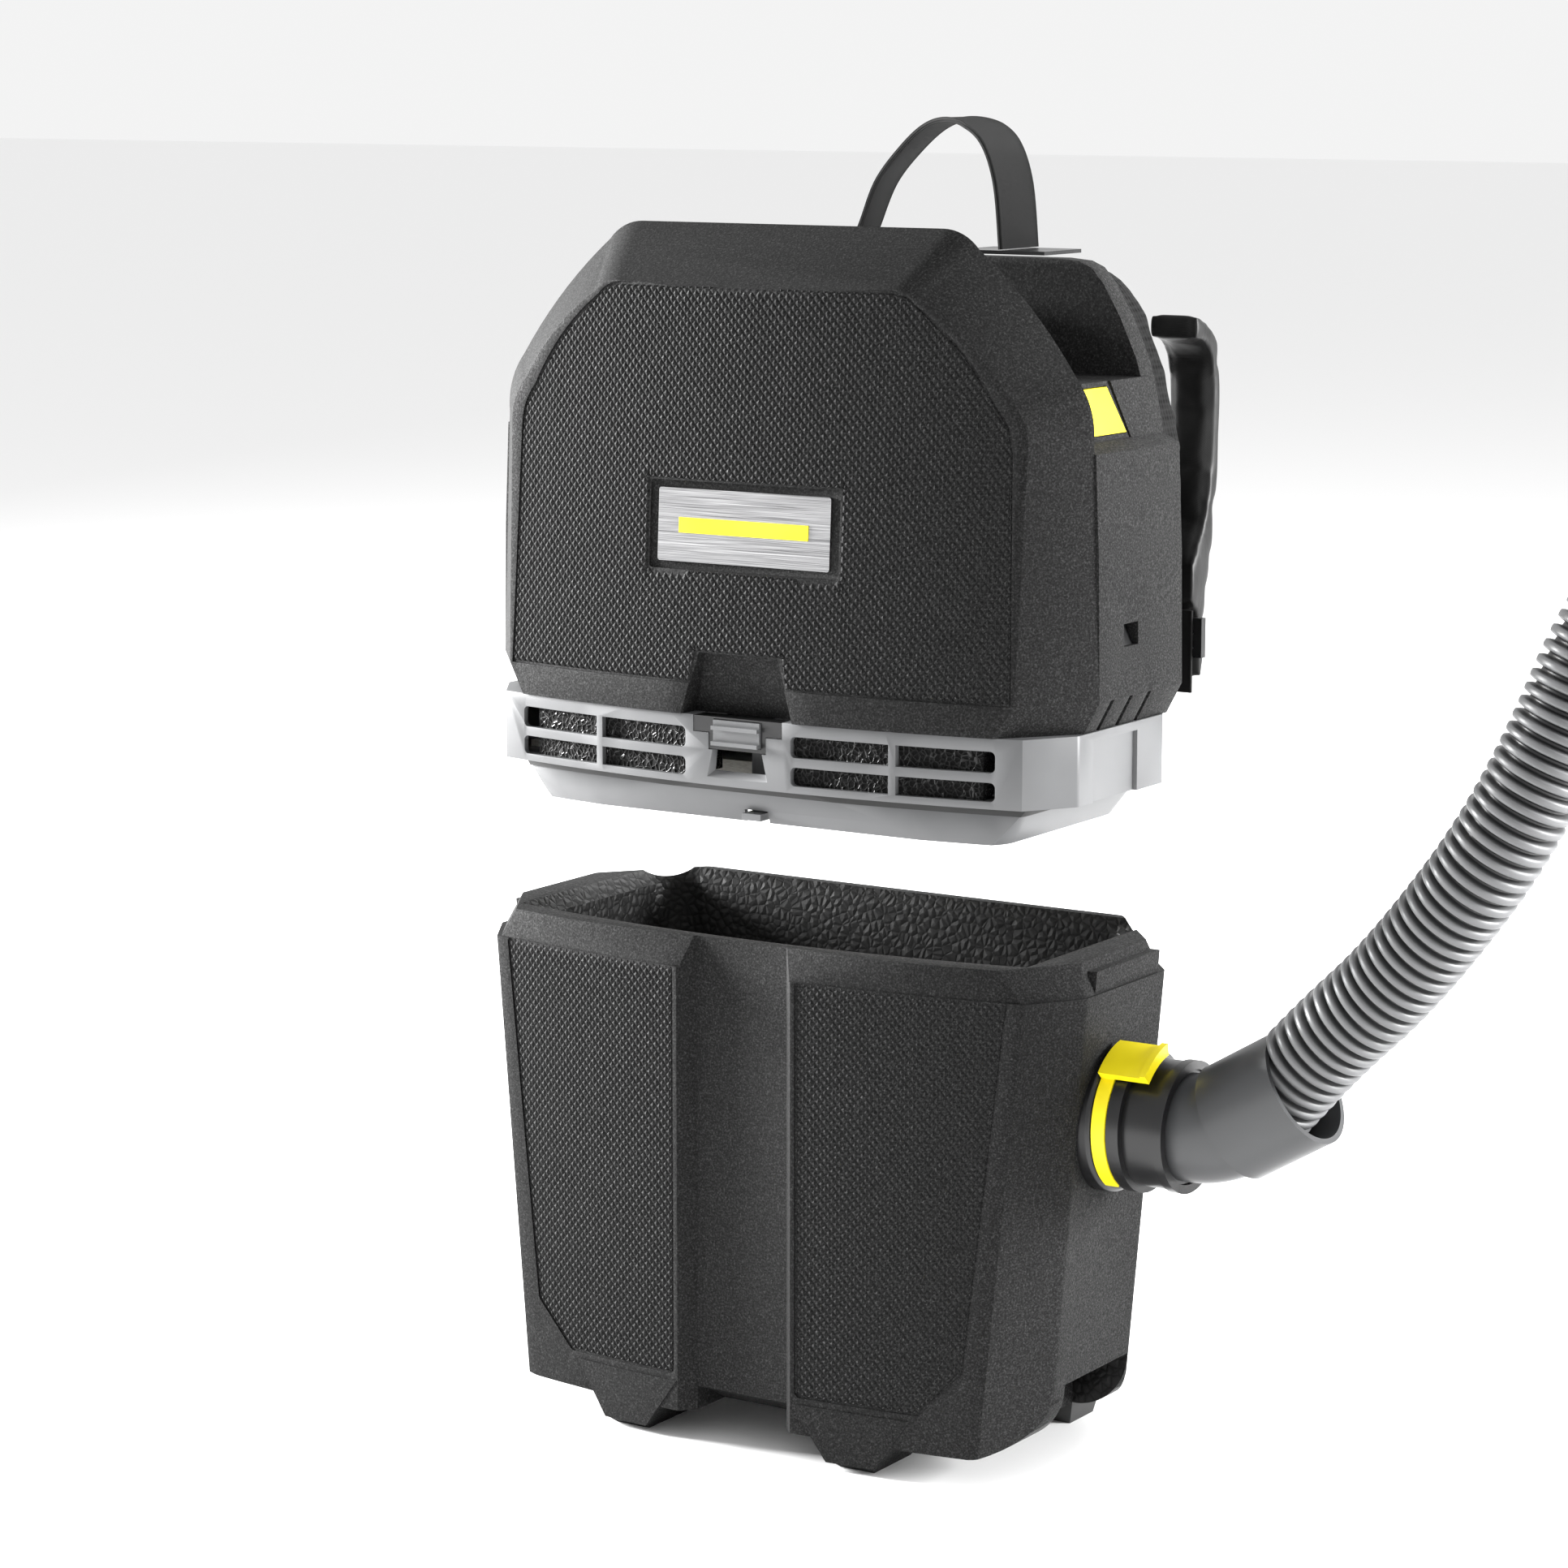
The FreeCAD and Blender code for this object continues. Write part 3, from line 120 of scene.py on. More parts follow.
# %% [markdown]
# ## Suction hose
# The hose is a stiff plastic tube on one smooth line: it rises from the cuff, turns over under its own
# weight and comes down to lie on the floor. It could be hung by a physics run, but a NURBS curve led by
# listed points gives a line with no bend tighter than four diameters.

# %% Line of the hose
hose_route = [
    (227.84, -19, 175.68), (253, -20, 205), (293, -21, 243), (349, -28, 318), (383, -7, 421),
    (454, 43, 490), (549, 113, 505), (635, 193, 439), (696, 266, 305), (674, 319, 189),
    (594, 343, 86), (464, 329, 21), (322, 331, 21),
]
line_data = bpy.data.curves.new("hose_line", "CURVE")
line_data.dimensions = "3D"
line_data.resolution_u = 24
spline = line_data.splines.new("NURBS")
spline.points.add(len(hose_route) - 1)
for point, (x, y, z) in zip(spline.points, hose_route):
    point.co = (x * MM, y * MM, z * MM, 1)
spline.order_u = 3
spline.use_endpoint_u = True
line_object = bpy.data.objects.new("hose_line", line_data)
bpy.context.collection.objects.link(line_object)
line_mesh = bpy.data.meshes.new_from_object(line_object)
centre = [v.co.copy() for v in line_mesh.vertices]
bpy.data.objects.remove(line_object)
reach = [0.0]
for a, b in zip(centre, centre[1:]):
    reach.append(reach[-1] + (b - a).length)
hose_length = reach[-1]
print("hose length", round(hose_length, 4), "points", len(centre))

# %% [markdown]
# ### A place along the hose
# The ribs need a point and a direction at any distance along the line, not only at its own points.
# The direction is blended between neighbouring stretches, so that the ribs fan out evenly in a bend.


# %% Point and direction along the hose
def along_hose(distance):
    """The point on the hose's line that far from its start, and the line's direction there."""
    distance = min(max(distance, 0), hose_length)
    i = 0
    while i < len(reach) - 2 and reach[i + 1] < distance:
        i += 1
    share = (distance - reach[i]) / (reach[i + 1] - reach[i])
    before, after = centre[max(i - 1, 0)], centre[min(i + 2, len(centre) - 1)]
    here = (centre[i + 1] - centre[i]).normalized()
    first = (here + (centre[i] - before).normalized() if i else here).normalized()
    last = (here + (after - centre[i + 1]).normalized() if after != centre[i + 1] else here).normalized()
    return centre[i].lerp(centre[i + 1], share), first.lerp(last, share).normalized()


print("halfway point", [round(x, 3) for x in along_hose(hose_length / 2)[0]])

# %% [markdown]
# ### Ribs
# A ribbed hose is blown into a mould with one groove for each rib, so every rib is the same: a rounded
# crest, two steep sides and a narrow groove. One profile is repeated along the line as rings of points.
# Each point also keeps its height on the rib, which the hose's finish reads later to paint shade and
# highlight.

# %% Rings of the ribs
groove_radius, rib_height = 17.2, 3.8
rib_pitch = 6.2 * MM
rib_profile = [(0.0, 17.4), (0.22, 17.2), (0.29, 19.6), (0.36, 20.8), (0.50, 21.0), (0.66, 21.0),
               (0.80, 20.8), (0.88, 19.6), (0.95, 17.6)]
ribs = int(hose_length / rib_pitch)
rib_pitch = hose_length / ribs
around = 40
side = Vector((0, -1, 0))
verts, faces, crest, rings = [], [], [], 0
for rib in range(ribs):
    for share, radius in rib_profile:
        at, ahead = along_hose((rib + share) * rib_pitch)
        side = (side - ahead * side.dot(ahead)).normalized()
        other = ahead.cross(side)
        for k in range(around):
            angle = 2 * math.pi * k / around
            verts.append(at + (side * math.cos(angle) + other * math.sin(angle)) * radius * MM)
            crest.append((radius - groove_radius) / rib_height)
        rings += 1
print("hose ribs", ribs, "rings", rings)

# %% [markdown]
# ### Skin of the hose
# The rings are joined by faces and both ends are closed. Then the hose, a stiff cord, is set to ride on
# the container, and the CAD frame's own hose is hidden.

# %% Skin of the hose
for r in range(rings - 1):
    for k in range(around):
        a, b = r * around + k, r * around + (k + 1) % around
        faces.append((a, b, b + around, a + around))
faces.append(tuple(reversed(range(around))))
faces.append(tuple(range((rings - 1) * around, rings * around)))
hose_mesh = bpy.data.meshes.new("hose")
hose_mesh.from_pydata(verts, [], faces)
hose = bpy.data.objects.new("hose", hose_mesh)
bpy.context.collection.objects.link(hose)
hose_mesh.shade_smooth()
height_on_rib = hose_mesh.attributes.new("crest", "FLOAT", "POINT")
height_on_rib.data.foreach_set("value", crest)
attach(hose, "container")
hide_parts("suction_hose")
print("hose faces", len(faces))

# %% [markdown]
# ## Finishes
# Each finish is a shader with a pattern in the piece's own coordinates, in metres, so its grain
# keeps its true size. A pattern drives the colour, the roughness and a small bump together, so a low
# place in the relief is painted darker and duller than the skin round it; in grooves, holes and folds
# that darker colour is painted shade.


# %% A finish and its patterns
def finish(name, colour, rough, metal=0.0, gloss=0.5):
    """A material with that colour, roughness and reflectivity; its patterns are added after."""
    made = bpy.data.materials.new(name)
    made.use_nodes = True
    made.diffuse_color = (*colour, 1)
    shader = made.node_tree.nodes["Principled BSDF"]
    shader.inputs["Base Color"].default_value = (*colour, 1)
    shader.inputs["Roughness"].default_value = rough
    shader.inputs["Metallic"].default_value = metal
    shader.inputs["Specular IOR Level"].default_value = gloss
    return made


def pattern(made, kind, stretch, source="Object", **settings):
    """A texture of that kind, with so many repeats in a metre along each direction."""
    tree = made.node_tree
    where = tree.nodes.new("ShaderNodeTexCoord")
    scale = tree.nodes.new("ShaderNodeMapping")
    scale.inputs["Scale"].default_value = stretch
    texture = tree.nodes.new(kind)
    texture.inputs["Scale"].default_value = 1
    for key, value in settings.items():
        if hasattr(texture, key):
            setattr(texture, key, value)
        else:
            texture.inputs[key.replace("_", " ").title()].default_value = value
    tree.links.new(where.outputs[source], scale.inputs["Vector"])
    tree.links.new(scale.outputs["Vector"], texture.inputs["Vector"])
    return texture


NOISE, CELLS, WAVE = "ShaderNodeTexNoise", "ShaderNodeTexVoronoi", "ShaderNodeTexWave"
print("patterns", NOISE, CELLS, WAVE)

# %% [markdown]
# ### Colour, shine and relief from one pattern
# A ramp turns the pattern's value into colours or roughnesses. A bump turns it into a small height in
# millimetres; true geometry this fine would cost millions of faces and wouldn't look different.


# %% Shades and relief
def shades(made, factor, stops, socket="Base Color"):
    """Colours, or roughnesses, along the pattern's value."""
    tree = made.node_tree
    ramp = tree.nodes.new("ShaderNodeValToRGB")
    while len(ramp.color_ramp.elements) < len(stops):
        ramp.color_ramp.elements.new(0.5)
    for element, (at, colour) in zip(ramp.color_ramp.elements, stops):
        element.position = at
        element.color = (*colour, 1) if isinstance(colour, tuple) else (colour, colour, colour, 1)
    tree.links.new(factor, ramp.inputs["Fac"])
    tree.links.new(ramp.outputs["Color"], tree.nodes["Principled BSDF"].inputs[socket])
    return ramp


def relief(made, height, strength, depth, after=None):
    """A bump of that depth in millimetres, on top of an earlier one if it is given."""
    tree = made.node_tree
    bump = tree.nodes.new("ShaderNodeBump")
    bump.inputs["Strength"].default_value = strength
    bump.inputs["Distance"].default_value = depth * MM
    tree.links.new(height, bump.inputs["Height"])
    if after:
        tree.links.new(after.outputs["Normal"], bump.inputs["Normal"])
    tree.links.new(bump.outputs["Normal"], tree.nodes["Principled BSDF"].inputs["Normal"])
    return bump


# %% [markdown]
# ### Bead foam
# The shells are expanded beads fused in a steam mould. The skin shows grains about a millimetre
# across, some charred dark and some lighter, with a dull surface and faint pits between the beads.
# Inside the container the skin is left as it comes from the mould: whole beads with a slight shine.

# %% Bead foam
foam = finish("bead_foam", (0.012, 0.012, 0.012), 0.7, gloss=0.13)
speckle = pattern(foam, NOISE, (1100, 1100, 1100), detail=3.0, roughness=0.7)
shades(foam, speckle.outputs["Fac"], [(0.30, 0.004), (0.47, 0.009), (0.57, 0.016), (0.74, 0.05)])
beads = pattern(foam, CELLS, (330, 330, 330), feature="F1")
skin = relief(foam, speckle.outputs["Fac"], 0.30, 0.22)
relief(foam, beads.outputs["Distance"], 0.10, 0.4, skin)
shades(foam, speckle.outputs["Fac"], [(0.35, 0.82), (0.7, 0.55)], "Roughness")

inner_foam = finish("bead_cells", (0.01, 0.01, 0.01), 0.38, gloss=0.14)
cell = pattern(inner_foam, CELLS, (240, 240, 240), feature="DISTANCE_TO_EDGE")
shades(inner_foam, cell.outputs["Distance"], [(0.0, 0.002), (0.12, 0.007), (0.5, 0.013)])
inner_skin = relief(inner_foam, cell.outputs["Distance"], 0.7, 0.9)
fine = pattern(inner_foam, NOISE, (1400, 1400, 1400), detail=2.0)
relief(inner_foam, fine.outputs["Fac"], 0.35, 0.15, inner_skin)
print("foams", foam.name, inner_foam.name)

# %% [markdown]
# ### Moulded plastics and rubber
# Injection-moulded parts have a fine spark-eroded grain, and their shine varies a little over the
# surface where the melt cooled at different speeds. One helper makes them all, so that they differ
# only in colour, shine and the size of their grain.


# %% Moulded plastics and rubber
def moulded(name, colour, rough, grain=2600, depth=0.05):
    """A moulded part: fine grain in the surface, slow changes of shine and shade."""
    made = finish(name, colour, rough)
    grains = pattern(made, NOISE, (grain, grain, grain), detail=1.5)
    drift = pattern(made, NOISE, (22, 22, 22), detail=3.0)
    darker, lighter = tuple(c * 0.9 for c in colour), tuple(min(c * 1.08, 1) for c in colour)
    shades(made, drift.outputs["Fac"], [(0.35, darker), (0.65, lighter)])
    shades(made, drift.outputs["Fac"], [(0.3, rough - 0.06), (0.7, rough + 0.08)], "Roughness")
    relief(made, grains.outputs["Fac"], 0.3, depth)
    return made


grey = moulded("grey_plastic", (0.115, 0.117, 0.12), 0.42)
hose_grey = moulded("hose_grey", (0.045, 0.046, 0.048), 0.36)
dark = moulded("dark_plastic", (0.006, 0.006, 0.0065), 0.28)
yellow = moulded("yellow_plastic", (0.92, 0.76, 0.008), 0.36)
rubber = moulded("black_rubber", (0.018, 0.018, 0.018), 0.62, 1500, 0.08)
board_green = moulded("board_green", (0.02, 0.12, 0.04), 0.35)
print("moulded", [made.name for made in (grey, hose_grey, dark, yellow, rubber, board_green)])

# %% [markdown]
# ### Hose
# The ribs are smooth. Their colour is painted: dark in the grooves as painted shade and light on the
# crests as painted highlight, following a value stored on the mesh: 0 at the bottom of a groove, 1 on a
# crest.

# %% Hose plastic
hose_plastic = finish("hose_plastic", (0.30, 0.305, 0.31), 0.4)
rib_value = hose_plastic.node_tree.nodes.new("ShaderNodeAttribute")
rib_value.attribute_name = "crest"
# Colour along the rib: painted shade in the grooves, painted highlight on the crests.
shades(hose_plastic, rib_value.outputs["Fac"],
       [(0.0, (0.008, 0.008, 0.009)), (0.5, (0.04, 0.041, 0.042)), (0.95, (0.125, 0.127, 0.13))])
scuff = pattern(hose_plastic, NOISE, (60, 60, 60), detail=6.0)
shades(hose_plastic, scuff.outputs["Fac"], [(0.3, 0.34), (0.7, 0.5)], "Roughness")
hose_grain = pattern(hose_plastic, NOISE, (2200, 2200, 2200), detail=1.0)
relief(hose_plastic, hose_grain.outputs["Fac"], 0.2, 0.05)
print("hose finish reads", rib_value.attribute_name)

# %% [markdown]
# ### Metals
# The badge is brushed along its length, so its noise is stretched a hundred times that way. Screws and
# springs are drawn wire with a fine mark, and the motor's case shows the edges of its stacked sheets.

# %% Metals
brushed = finish("badge_metal", (0.62, 0.62, 0.63), 0.33, 1.0)
strokes = pattern(brushed, NOISE, (25, 3000, 3000), detail=4.0)
shades(brushed, strokes.outputs["Fac"], [(0.3, (0.2, 0.2, 0.205)), (0.7, (0.46, 0.46, 0.465))])
shades(brushed, strokes.outputs["Fac"], [(0.3, 0.26), (0.7, 0.42)], "Roughness")
relief(brushed, strokes.outputs["Fac"], 0.25, 0.03)
steel = finish("steel", (0.55, 0.55, 0.55), 0.3, 1.0)
drawn = pattern(steel, NOISE, (900, 900, 900), detail=3.0)
shades(steel, drawn.outputs["Fac"], [(0.3, 0.24), (0.7, 0.4)], "Roughness")
relief(steel, drawn.outputs["Fac"], 0.2, 0.03)
motor_metal = finish("motor_metal", (0.35, 0.35, 0.36), 0.4, 1.0)
laminations = pattern(motor_metal, WAVE, (0.001, 0.001, 300), bands_direction="Z")
shades(motor_metal, laminations.outputs["Fac"], [(0.2, 0.3), (0.8, 0.5)], "Roughness")
relief(motor_metal, laminations.outputs["Fac"], 0.3, 0.2)
print("metals", brushed.name, steel.name, motor_metal.name)

# %% [markdown]
# ### Filter media
# The exhaust foam is an open net of shiny strands round holes: cells whose edges are lighter and whose
# middles sink and are painted nearly black as painted shade. The main filter is pleated paper, and the dust
# bag a fleece of tangled fibres.

# %% Filter media
open_foam = finish("filter_foam", (0.012, 0.012, 0.012), 0.25, gloss=0.3)
strands = pattern(open_foam, CELLS, (420, 420, 420), feature="DISTANCE_TO_EDGE")
# The holes are painted nearly black: painted shade inside the open foam.
shades(open_foam, strands.outputs["Distance"], [(0.0, 0.012), (0.07, 0.005), (0.12, 0.0003)])
shades(open_foam, strands.outputs["Distance"], [(0.04, 0.2), (0.10, 1.0)], "Roughness")
relief(open_foam, strands.outputs["Distance"], 1.0, -2.0)
paper = finish("filter_paper", (0.72, 0.70, 0.64), 0.85)
pulp = pattern(paper, NOISE, (500, 500, 1500), detail=5.0)
shades(paper, pulp.outputs["Fac"], [(0.3, (0.6, 0.58, 0.52)), (0.7, (0.78, 0.76, 0.70))])
relief(paper, pulp.outputs["Fac"], 0.5, 0.15)
fleece = finish("bag_fleece", (0.68, 0.67, 0.64), 0.9)
fibres = pattern(fleece, NOISE, (700, 700, 700), detail=6.0, distortion=2.0)
shades(fleece, fibres.outputs["Fac"], [(0.3, (0.5, 0.49, 0.46)), (0.7, (0.74, 0.73, 0.7))])
relief(fleece, fibres.outputs["Fac"], 0.6, 0.3)
print("filter media", open_foam.name, paper.name, fleece.name)

# %% [markdown]
# ### Fabrics
# The pad is covered in a spacer mesh with a hole in every cell, and the holes are painted dark as painted
# shade. The straps are a satin that creases where they fold, so a wide noise bends their surface under the
# fine twill and paints shade into the folds and sheen onto their ridges. The webbing's weave follows the
# tape's own map, because it has to turn with the tape, and its colour is painted darker between the picks
# as painted shade.

# %% Fabrics
spacer = finish("pad_mesh", (0.012, 0.012, 0.013), 0.8, gloss=0.08)
spacer.node_tree.nodes["Principled BSDF"].inputs["Sheen Weight"].default_value = 0.02
holes = pattern(spacer, CELLS, (480, 480, 400), feature="F1", randomness=0.15)
# The middle of each hole is painted darkest: painted shade in the holes of the mesh.
shades(spacer, holes.outputs["Distance"], [(0.15, 0.002), (0.4, 0.008), (0.7, 0.014)])
relief(spacer, holes.outputs["Distance"], 0.8, 0.5)
satin = finish("strap_satin", (0.014, 0.014, 0.015), 0.42, gloss=0.22)
satin.node_tree.nodes["Principled BSDF"].inputs["Sheen Weight"].default_value = 0.02
twill = pattern(satin, WAVE, (0.001, 900, 900), bands_direction="DIAGONAL")
creases = pattern(satin, NOISE, (30, 60, 25), detail=3.0, distortion=0.6)
# The crease pattern paints the colour too: darker in the folds as painted shade, lighter on their ridges as
# painted sheen.
shades(satin, creases.outputs["Fac"], [(0.35, 0.003), (0.7, 0.012)])
shades(satin, creases.outputs["Fac"], [(0.3, 0.34), (0.7, 0.55)], "Roughness")
cloth_face = relief(satin, twill.outputs["Fac"], 0.25, 0.12)
relief(satin, creases.outputs["Fac"], 0.35, 3.0, cloth_face)
woven = finish("webbing", (0.016, 0.016, 0.017), 0.65, gloss=0.1)
woven.node_tree.nodes["Principled BSDF"].inputs["Sheen Weight"].default_value = 0.02
picks = pattern(woven, WAVE, (0.001, 160, 0.001), "UV", bands_direction="Y")
ends = pattern(woven, WAVE, (110, 0.001, 0.001), "UV", bands_direction="X")
# The weave's colour: darker between the picks as painted shade, lighter on their tops as painted highlight.
shades(woven, picks.outputs["Fac"], [(0.1, 0.002), (0.6, 0.009), (0.95, 0.02)])
rows = relief(woven, picks.outputs["Fac"], 0.8, 0.4)
relief(woven, ends.outputs["Fac"], 0.5, 0.3, rows)
print("finishes", len(bpy.data.materials))


# %% [markdown]
# ## Give the hard pieces their finish
# The small moulded and turned pieces are already true in the CAD frame, so each keeps its shape and
# takes one finish. Only the large shells, which show their edges, are worked on further.


# %% Finishes on the hard pieces
def wear(made, *names):
    """Put one finish on these CAD pieces."""
    for name in names:
        slots = nodes[name].data.materials
        slots.clear()
        slots.append(made)


wear(dark, "latch_keeper", "inlet_flange", "inlet_nut", "hose_collar", "latch_housing", "power_bezel",
     "side_clips", "strap_buckles", "handle_anchors", "battery_pack", "latch_stop", "motor_mount_ring",
     "bag_collar")
wear(hose_grey, "hose_elbow", "hose_cuff", "hose_end_connector")
wear(grey, "latch_button", "power_button", "motor_housing_lower",
     "motor_housing_upper", "fan_impeller", "back_plate")
wear(yellow, "lock_ring", "battery_release_button", "badge_stripe")
wear(foam, "front_foot_right", "front_foot_left")
wear(rubber, "rear_feet", "inlet_seal", "skirt_gasket")
wear(brushed, "badge_plate")
wear(steel, "latch_spring", "release_spring", "power_spring", "battery_terminals", "board_standoffs",
     "frame_screws", "motor_shaft")
wear(motor_metal, "motor")
wear(board_green, "control_board")
wear(paper, "main_filter")
wear(open_foam, "exhaust_foam_right", "exhaust_foam_left", "motor_filter")
hose.data.materials.append(hose_plastic)
print("pieces with a finish", sum(1 for piece in nodes.values() if piece.data.materials))

# %% [markdown]
# ## Softened shells
# Moulded foam and moulded plastic have no knife edges. The shells are copies of the CAD pieces at
# the same size, with their loose triangles merged, flat areas joined into single faces, and a
# narrow bevel along every sharp edge.


# %% A copy with softened edges
def only(*objs):
    """Select these objects and nothing else."""
    bpy.ops.object.select_all(action="DESELECT")
    for o in objs:
        o.select_set(True)
    bpy.context.view_layer.objects.active = objs[0]


def shell_of(node, body, width, segments=3, sharp=24, smooth=40):
    """A copy of a CAD piece with merged points and bevelled edges, in its place and on its body."""
    copy = bpy.data.objects.new(node + "_shell", nodes[node].data.copy())
    bpy.context.collection.objects.link(copy)
    copy.data.materials.clear()
    only(copy)
    bpy.ops.object.mode_set(mode="EDIT")
    bpy.ops.mesh.select_all(action="SELECT")
    bpy.ops.mesh.remove_doubles(threshold=0.00002)
    bpy.ops.mesh.dissolve_limited(angle_limit=math.radians(1.0))
    bpy.ops.object.mode_set(mode="OBJECT")
    bevel = copy.modifiers.new("edges", "BEVEL")
    bevel.width = width * MM
    bevel.segments = segments
    bevel.limit_method = "ANGLE"
    bevel.angle_limit = math.radians(sharp)
    bevel.use_clamp_overlap = True
    bpy.ops.object.modifier_apply(modifier="edges")
    copy.data.shade_smooth()
    bpy.ops.object.shade_smooth_by_angle(angle=math.radians(smooth))
    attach(copy, body)
    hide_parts(node)
    print(node, "shell:", len(copy.data.polygons), "faces")
    return copy


# %% [markdown]
# ### The five shells
# Foam leaves its mould with rounder edges than injected plastic does, so the cover, the rear body and
# the tub get a bevel of about a millimetre and a half, and the grey band and skirt only half a one.

# %% Softened shells
cover = shell_of("front_cover", "head", 1.6)
rear = shell_of("rear_body", "head", 1.4)
tub = shell_of("container_tub", "container", 1.6)
band = shell_of("filter_frame", "head", 0.5, 2)
skirt = shell_of("sealing_skirt", "head", 0.5, 2)

for shell in (cover, rear, tub):
    shell.data.materials.append(foam)
for shell in (band, skirt):
    shell.data.materials.append(grey)

# %% [markdown]
# ### Inside of the container
# The inner walls keep the cells of the beads, so those faces take the second foam. They are found by
# place and direction: within the walls, and turned towards the middle of the container.

# %% Bead cells inside the container
wall_x, front_y, back_y, floor_z = 137.5, -84, 51, 20.5
middle_y, floor_edge_z = -16, 24
tub.data.materials.append(inner_foam)
inside = 0
for face in tub.data.polygons:
    x, y, z = (c / MM for c in face.center)
    towards_middle = -face.normal.x * x - face.normal.y * (y - middle_y)
    in_the_walls = abs(x) < wall_x and front_y < y < back_y and z > floor_z
    if in_the_walls and (towards_middle > 5 or z < floor_edge_z):
        face.material_index = 1
        inside += 1
print("faces inside the container", inside)

# %% [markdown]
# ## Diamond fields
# The cover and both halves of the tub's front carry a field of small raised diamonds with a clean
# border. A bump would give neither the border nor the sparkle, so the diamonds are modelled. First come
# the cuts: a field's outline is convex, so one straight cut along each side trims a sheet to it.


# %% Cut a sheet to an outline
def sides_of(corners):
    """Each side of a convex outline in x and z, in mm: a point on it and the direction out of it."""
    middle = Vector((sum(c[0] for c in corners), 0, sum(c[1] for c in corners))) * (MM / len(corners))
    found = []
    for a, b in zip(corners, corners[1:] + corners[:1]):
        at, to = Vector((a[0], 0, a[1])) * MM, Vector((b[0], 0, b[1])) * MM
        out_of = Vector(((to - at).z, 0, -(to - at).x)).normalized()
        found.append((at, out_of if out_of.dot(at - middle) > 0 else -out_of))
    return found


def trim(sheet, corners):
    """Cut the sheet along the outline and drop all that is outside it."""
    only(sheet)
    bpy.ops.object.mode_set(mode="EDIT")
    for at, out_of in sides_of(corners):
        bpy.ops.mesh.select_all(action="SELECT")
        bpy.ops.mesh.bisect(plane_co=at, plane_no=out_of, clear_outer=True)
    bpy.ops.object.mode_set(mode="OBJECT")


# %% [markdown]
# ### Gaps in a field
# The badge and the latch's notch leave gaps in the cover's field. A cut across the whole sheet would
# leave a line through the diamonds beyond the gap, so only the faces near the gap are cut.


# %% Cut a gap into a sheet
def open_up(sheet, corners):
    """Cut the sheet along the outline and drop all that is inside it."""
    nearby = 4 * MM
    only(sheet)
    bpy.ops.object.mode_set(mode="EDIT")
    for cut_at, cut_out in sides_of(corners):
        bpy.ops.mesh.select_mode(type="FACE")
        bpy.ops.mesh.select_all(action="DESELECT")
        bpy.ops.object.mode_set(mode="OBJECT")
        for face in sheet.data.polygons:
            face.select = all((face.center - at).dot(out_of) < nearby for at, out_of in sides_of(corners))
        bpy.ops.object.mode_set(mode="EDIT")
        bpy.ops.mesh.bisect(plane_co=cut_at, plane_no=cut_out)
    bpy.ops.mesh.select_mode(type="FACE")
    bpy.ops.mesh.select_all(action="DESELECT")
    bpy.ops.object.mode_set(mode="OBJECT")
    for face in sheet.data.polygons:
        face.select = all((face.center - at).dot(out_of) < 0 for at, out_of in sides_of(corners))
    bpy.ops.object.mode_set(mode="EDIT")
    bpy.ops.mesh.delete(type="FACE")
    bpy.ops.object.mode_set(mode="OBJECT")


# %% [markdown]
# ### A sheet of diamonds
# A flat grid turned by 45 degrees and stretched has diamond faces. It stands upright in front of the
# machine and is cut there, while it is still flat.


# %% Flat sheet of diamonds
def diamond_sheet(name, outline, gaps, across=3.7, tall=4.4, in_front=-0.13):
    """A flat upright sheet of diamond faces inside the outline, with the gaps left out."""
    x0, x1 = min(p[0] for p in outline), max(p[0] for p in outline)
    z0, z1 = min(p[1] for p in outline), max(p[1] for p in outline)
    count = int((x1 - x0) / across + (z1 - z0) / tall) + 4
    bpy.ops.object.select_all(action="DESELECT")
    bpy.ops.mesh.primitive_grid_add(x_subdivisions=count, y_subdivisions=count,
                                    size=count / math.sqrt(2) * MM, rotation=(0, 0, math.radians(45)))
    sheet = bpy.context.object
    sheet.name = name
    bpy.ops.object.transform_apply(location=False, rotation=True, scale=False)
    sheet.scale = (across, tall, 1)
    sheet.rotation_euler = (math.radians(90), 0, 0)
    sheet.location = ((x0 + x1) / 2 * MM, in_front, (z0 + z1) / 2 * MM)
    bpy.ops.object.transform_apply()
    trim(sheet, outline)
    for gap in gaps:
        open_up(sheet, gap)
    return sheet


# %% [markdown]
# ### Raised diamonds on a shell
# The sheet is projected straight back onto the crowned shell, so that the diamonds keep their shape
# from the front. Its border is turned in, which buries it in the foam, and each face is poked: a point
# raised at its middle turns it into a low pyramid.


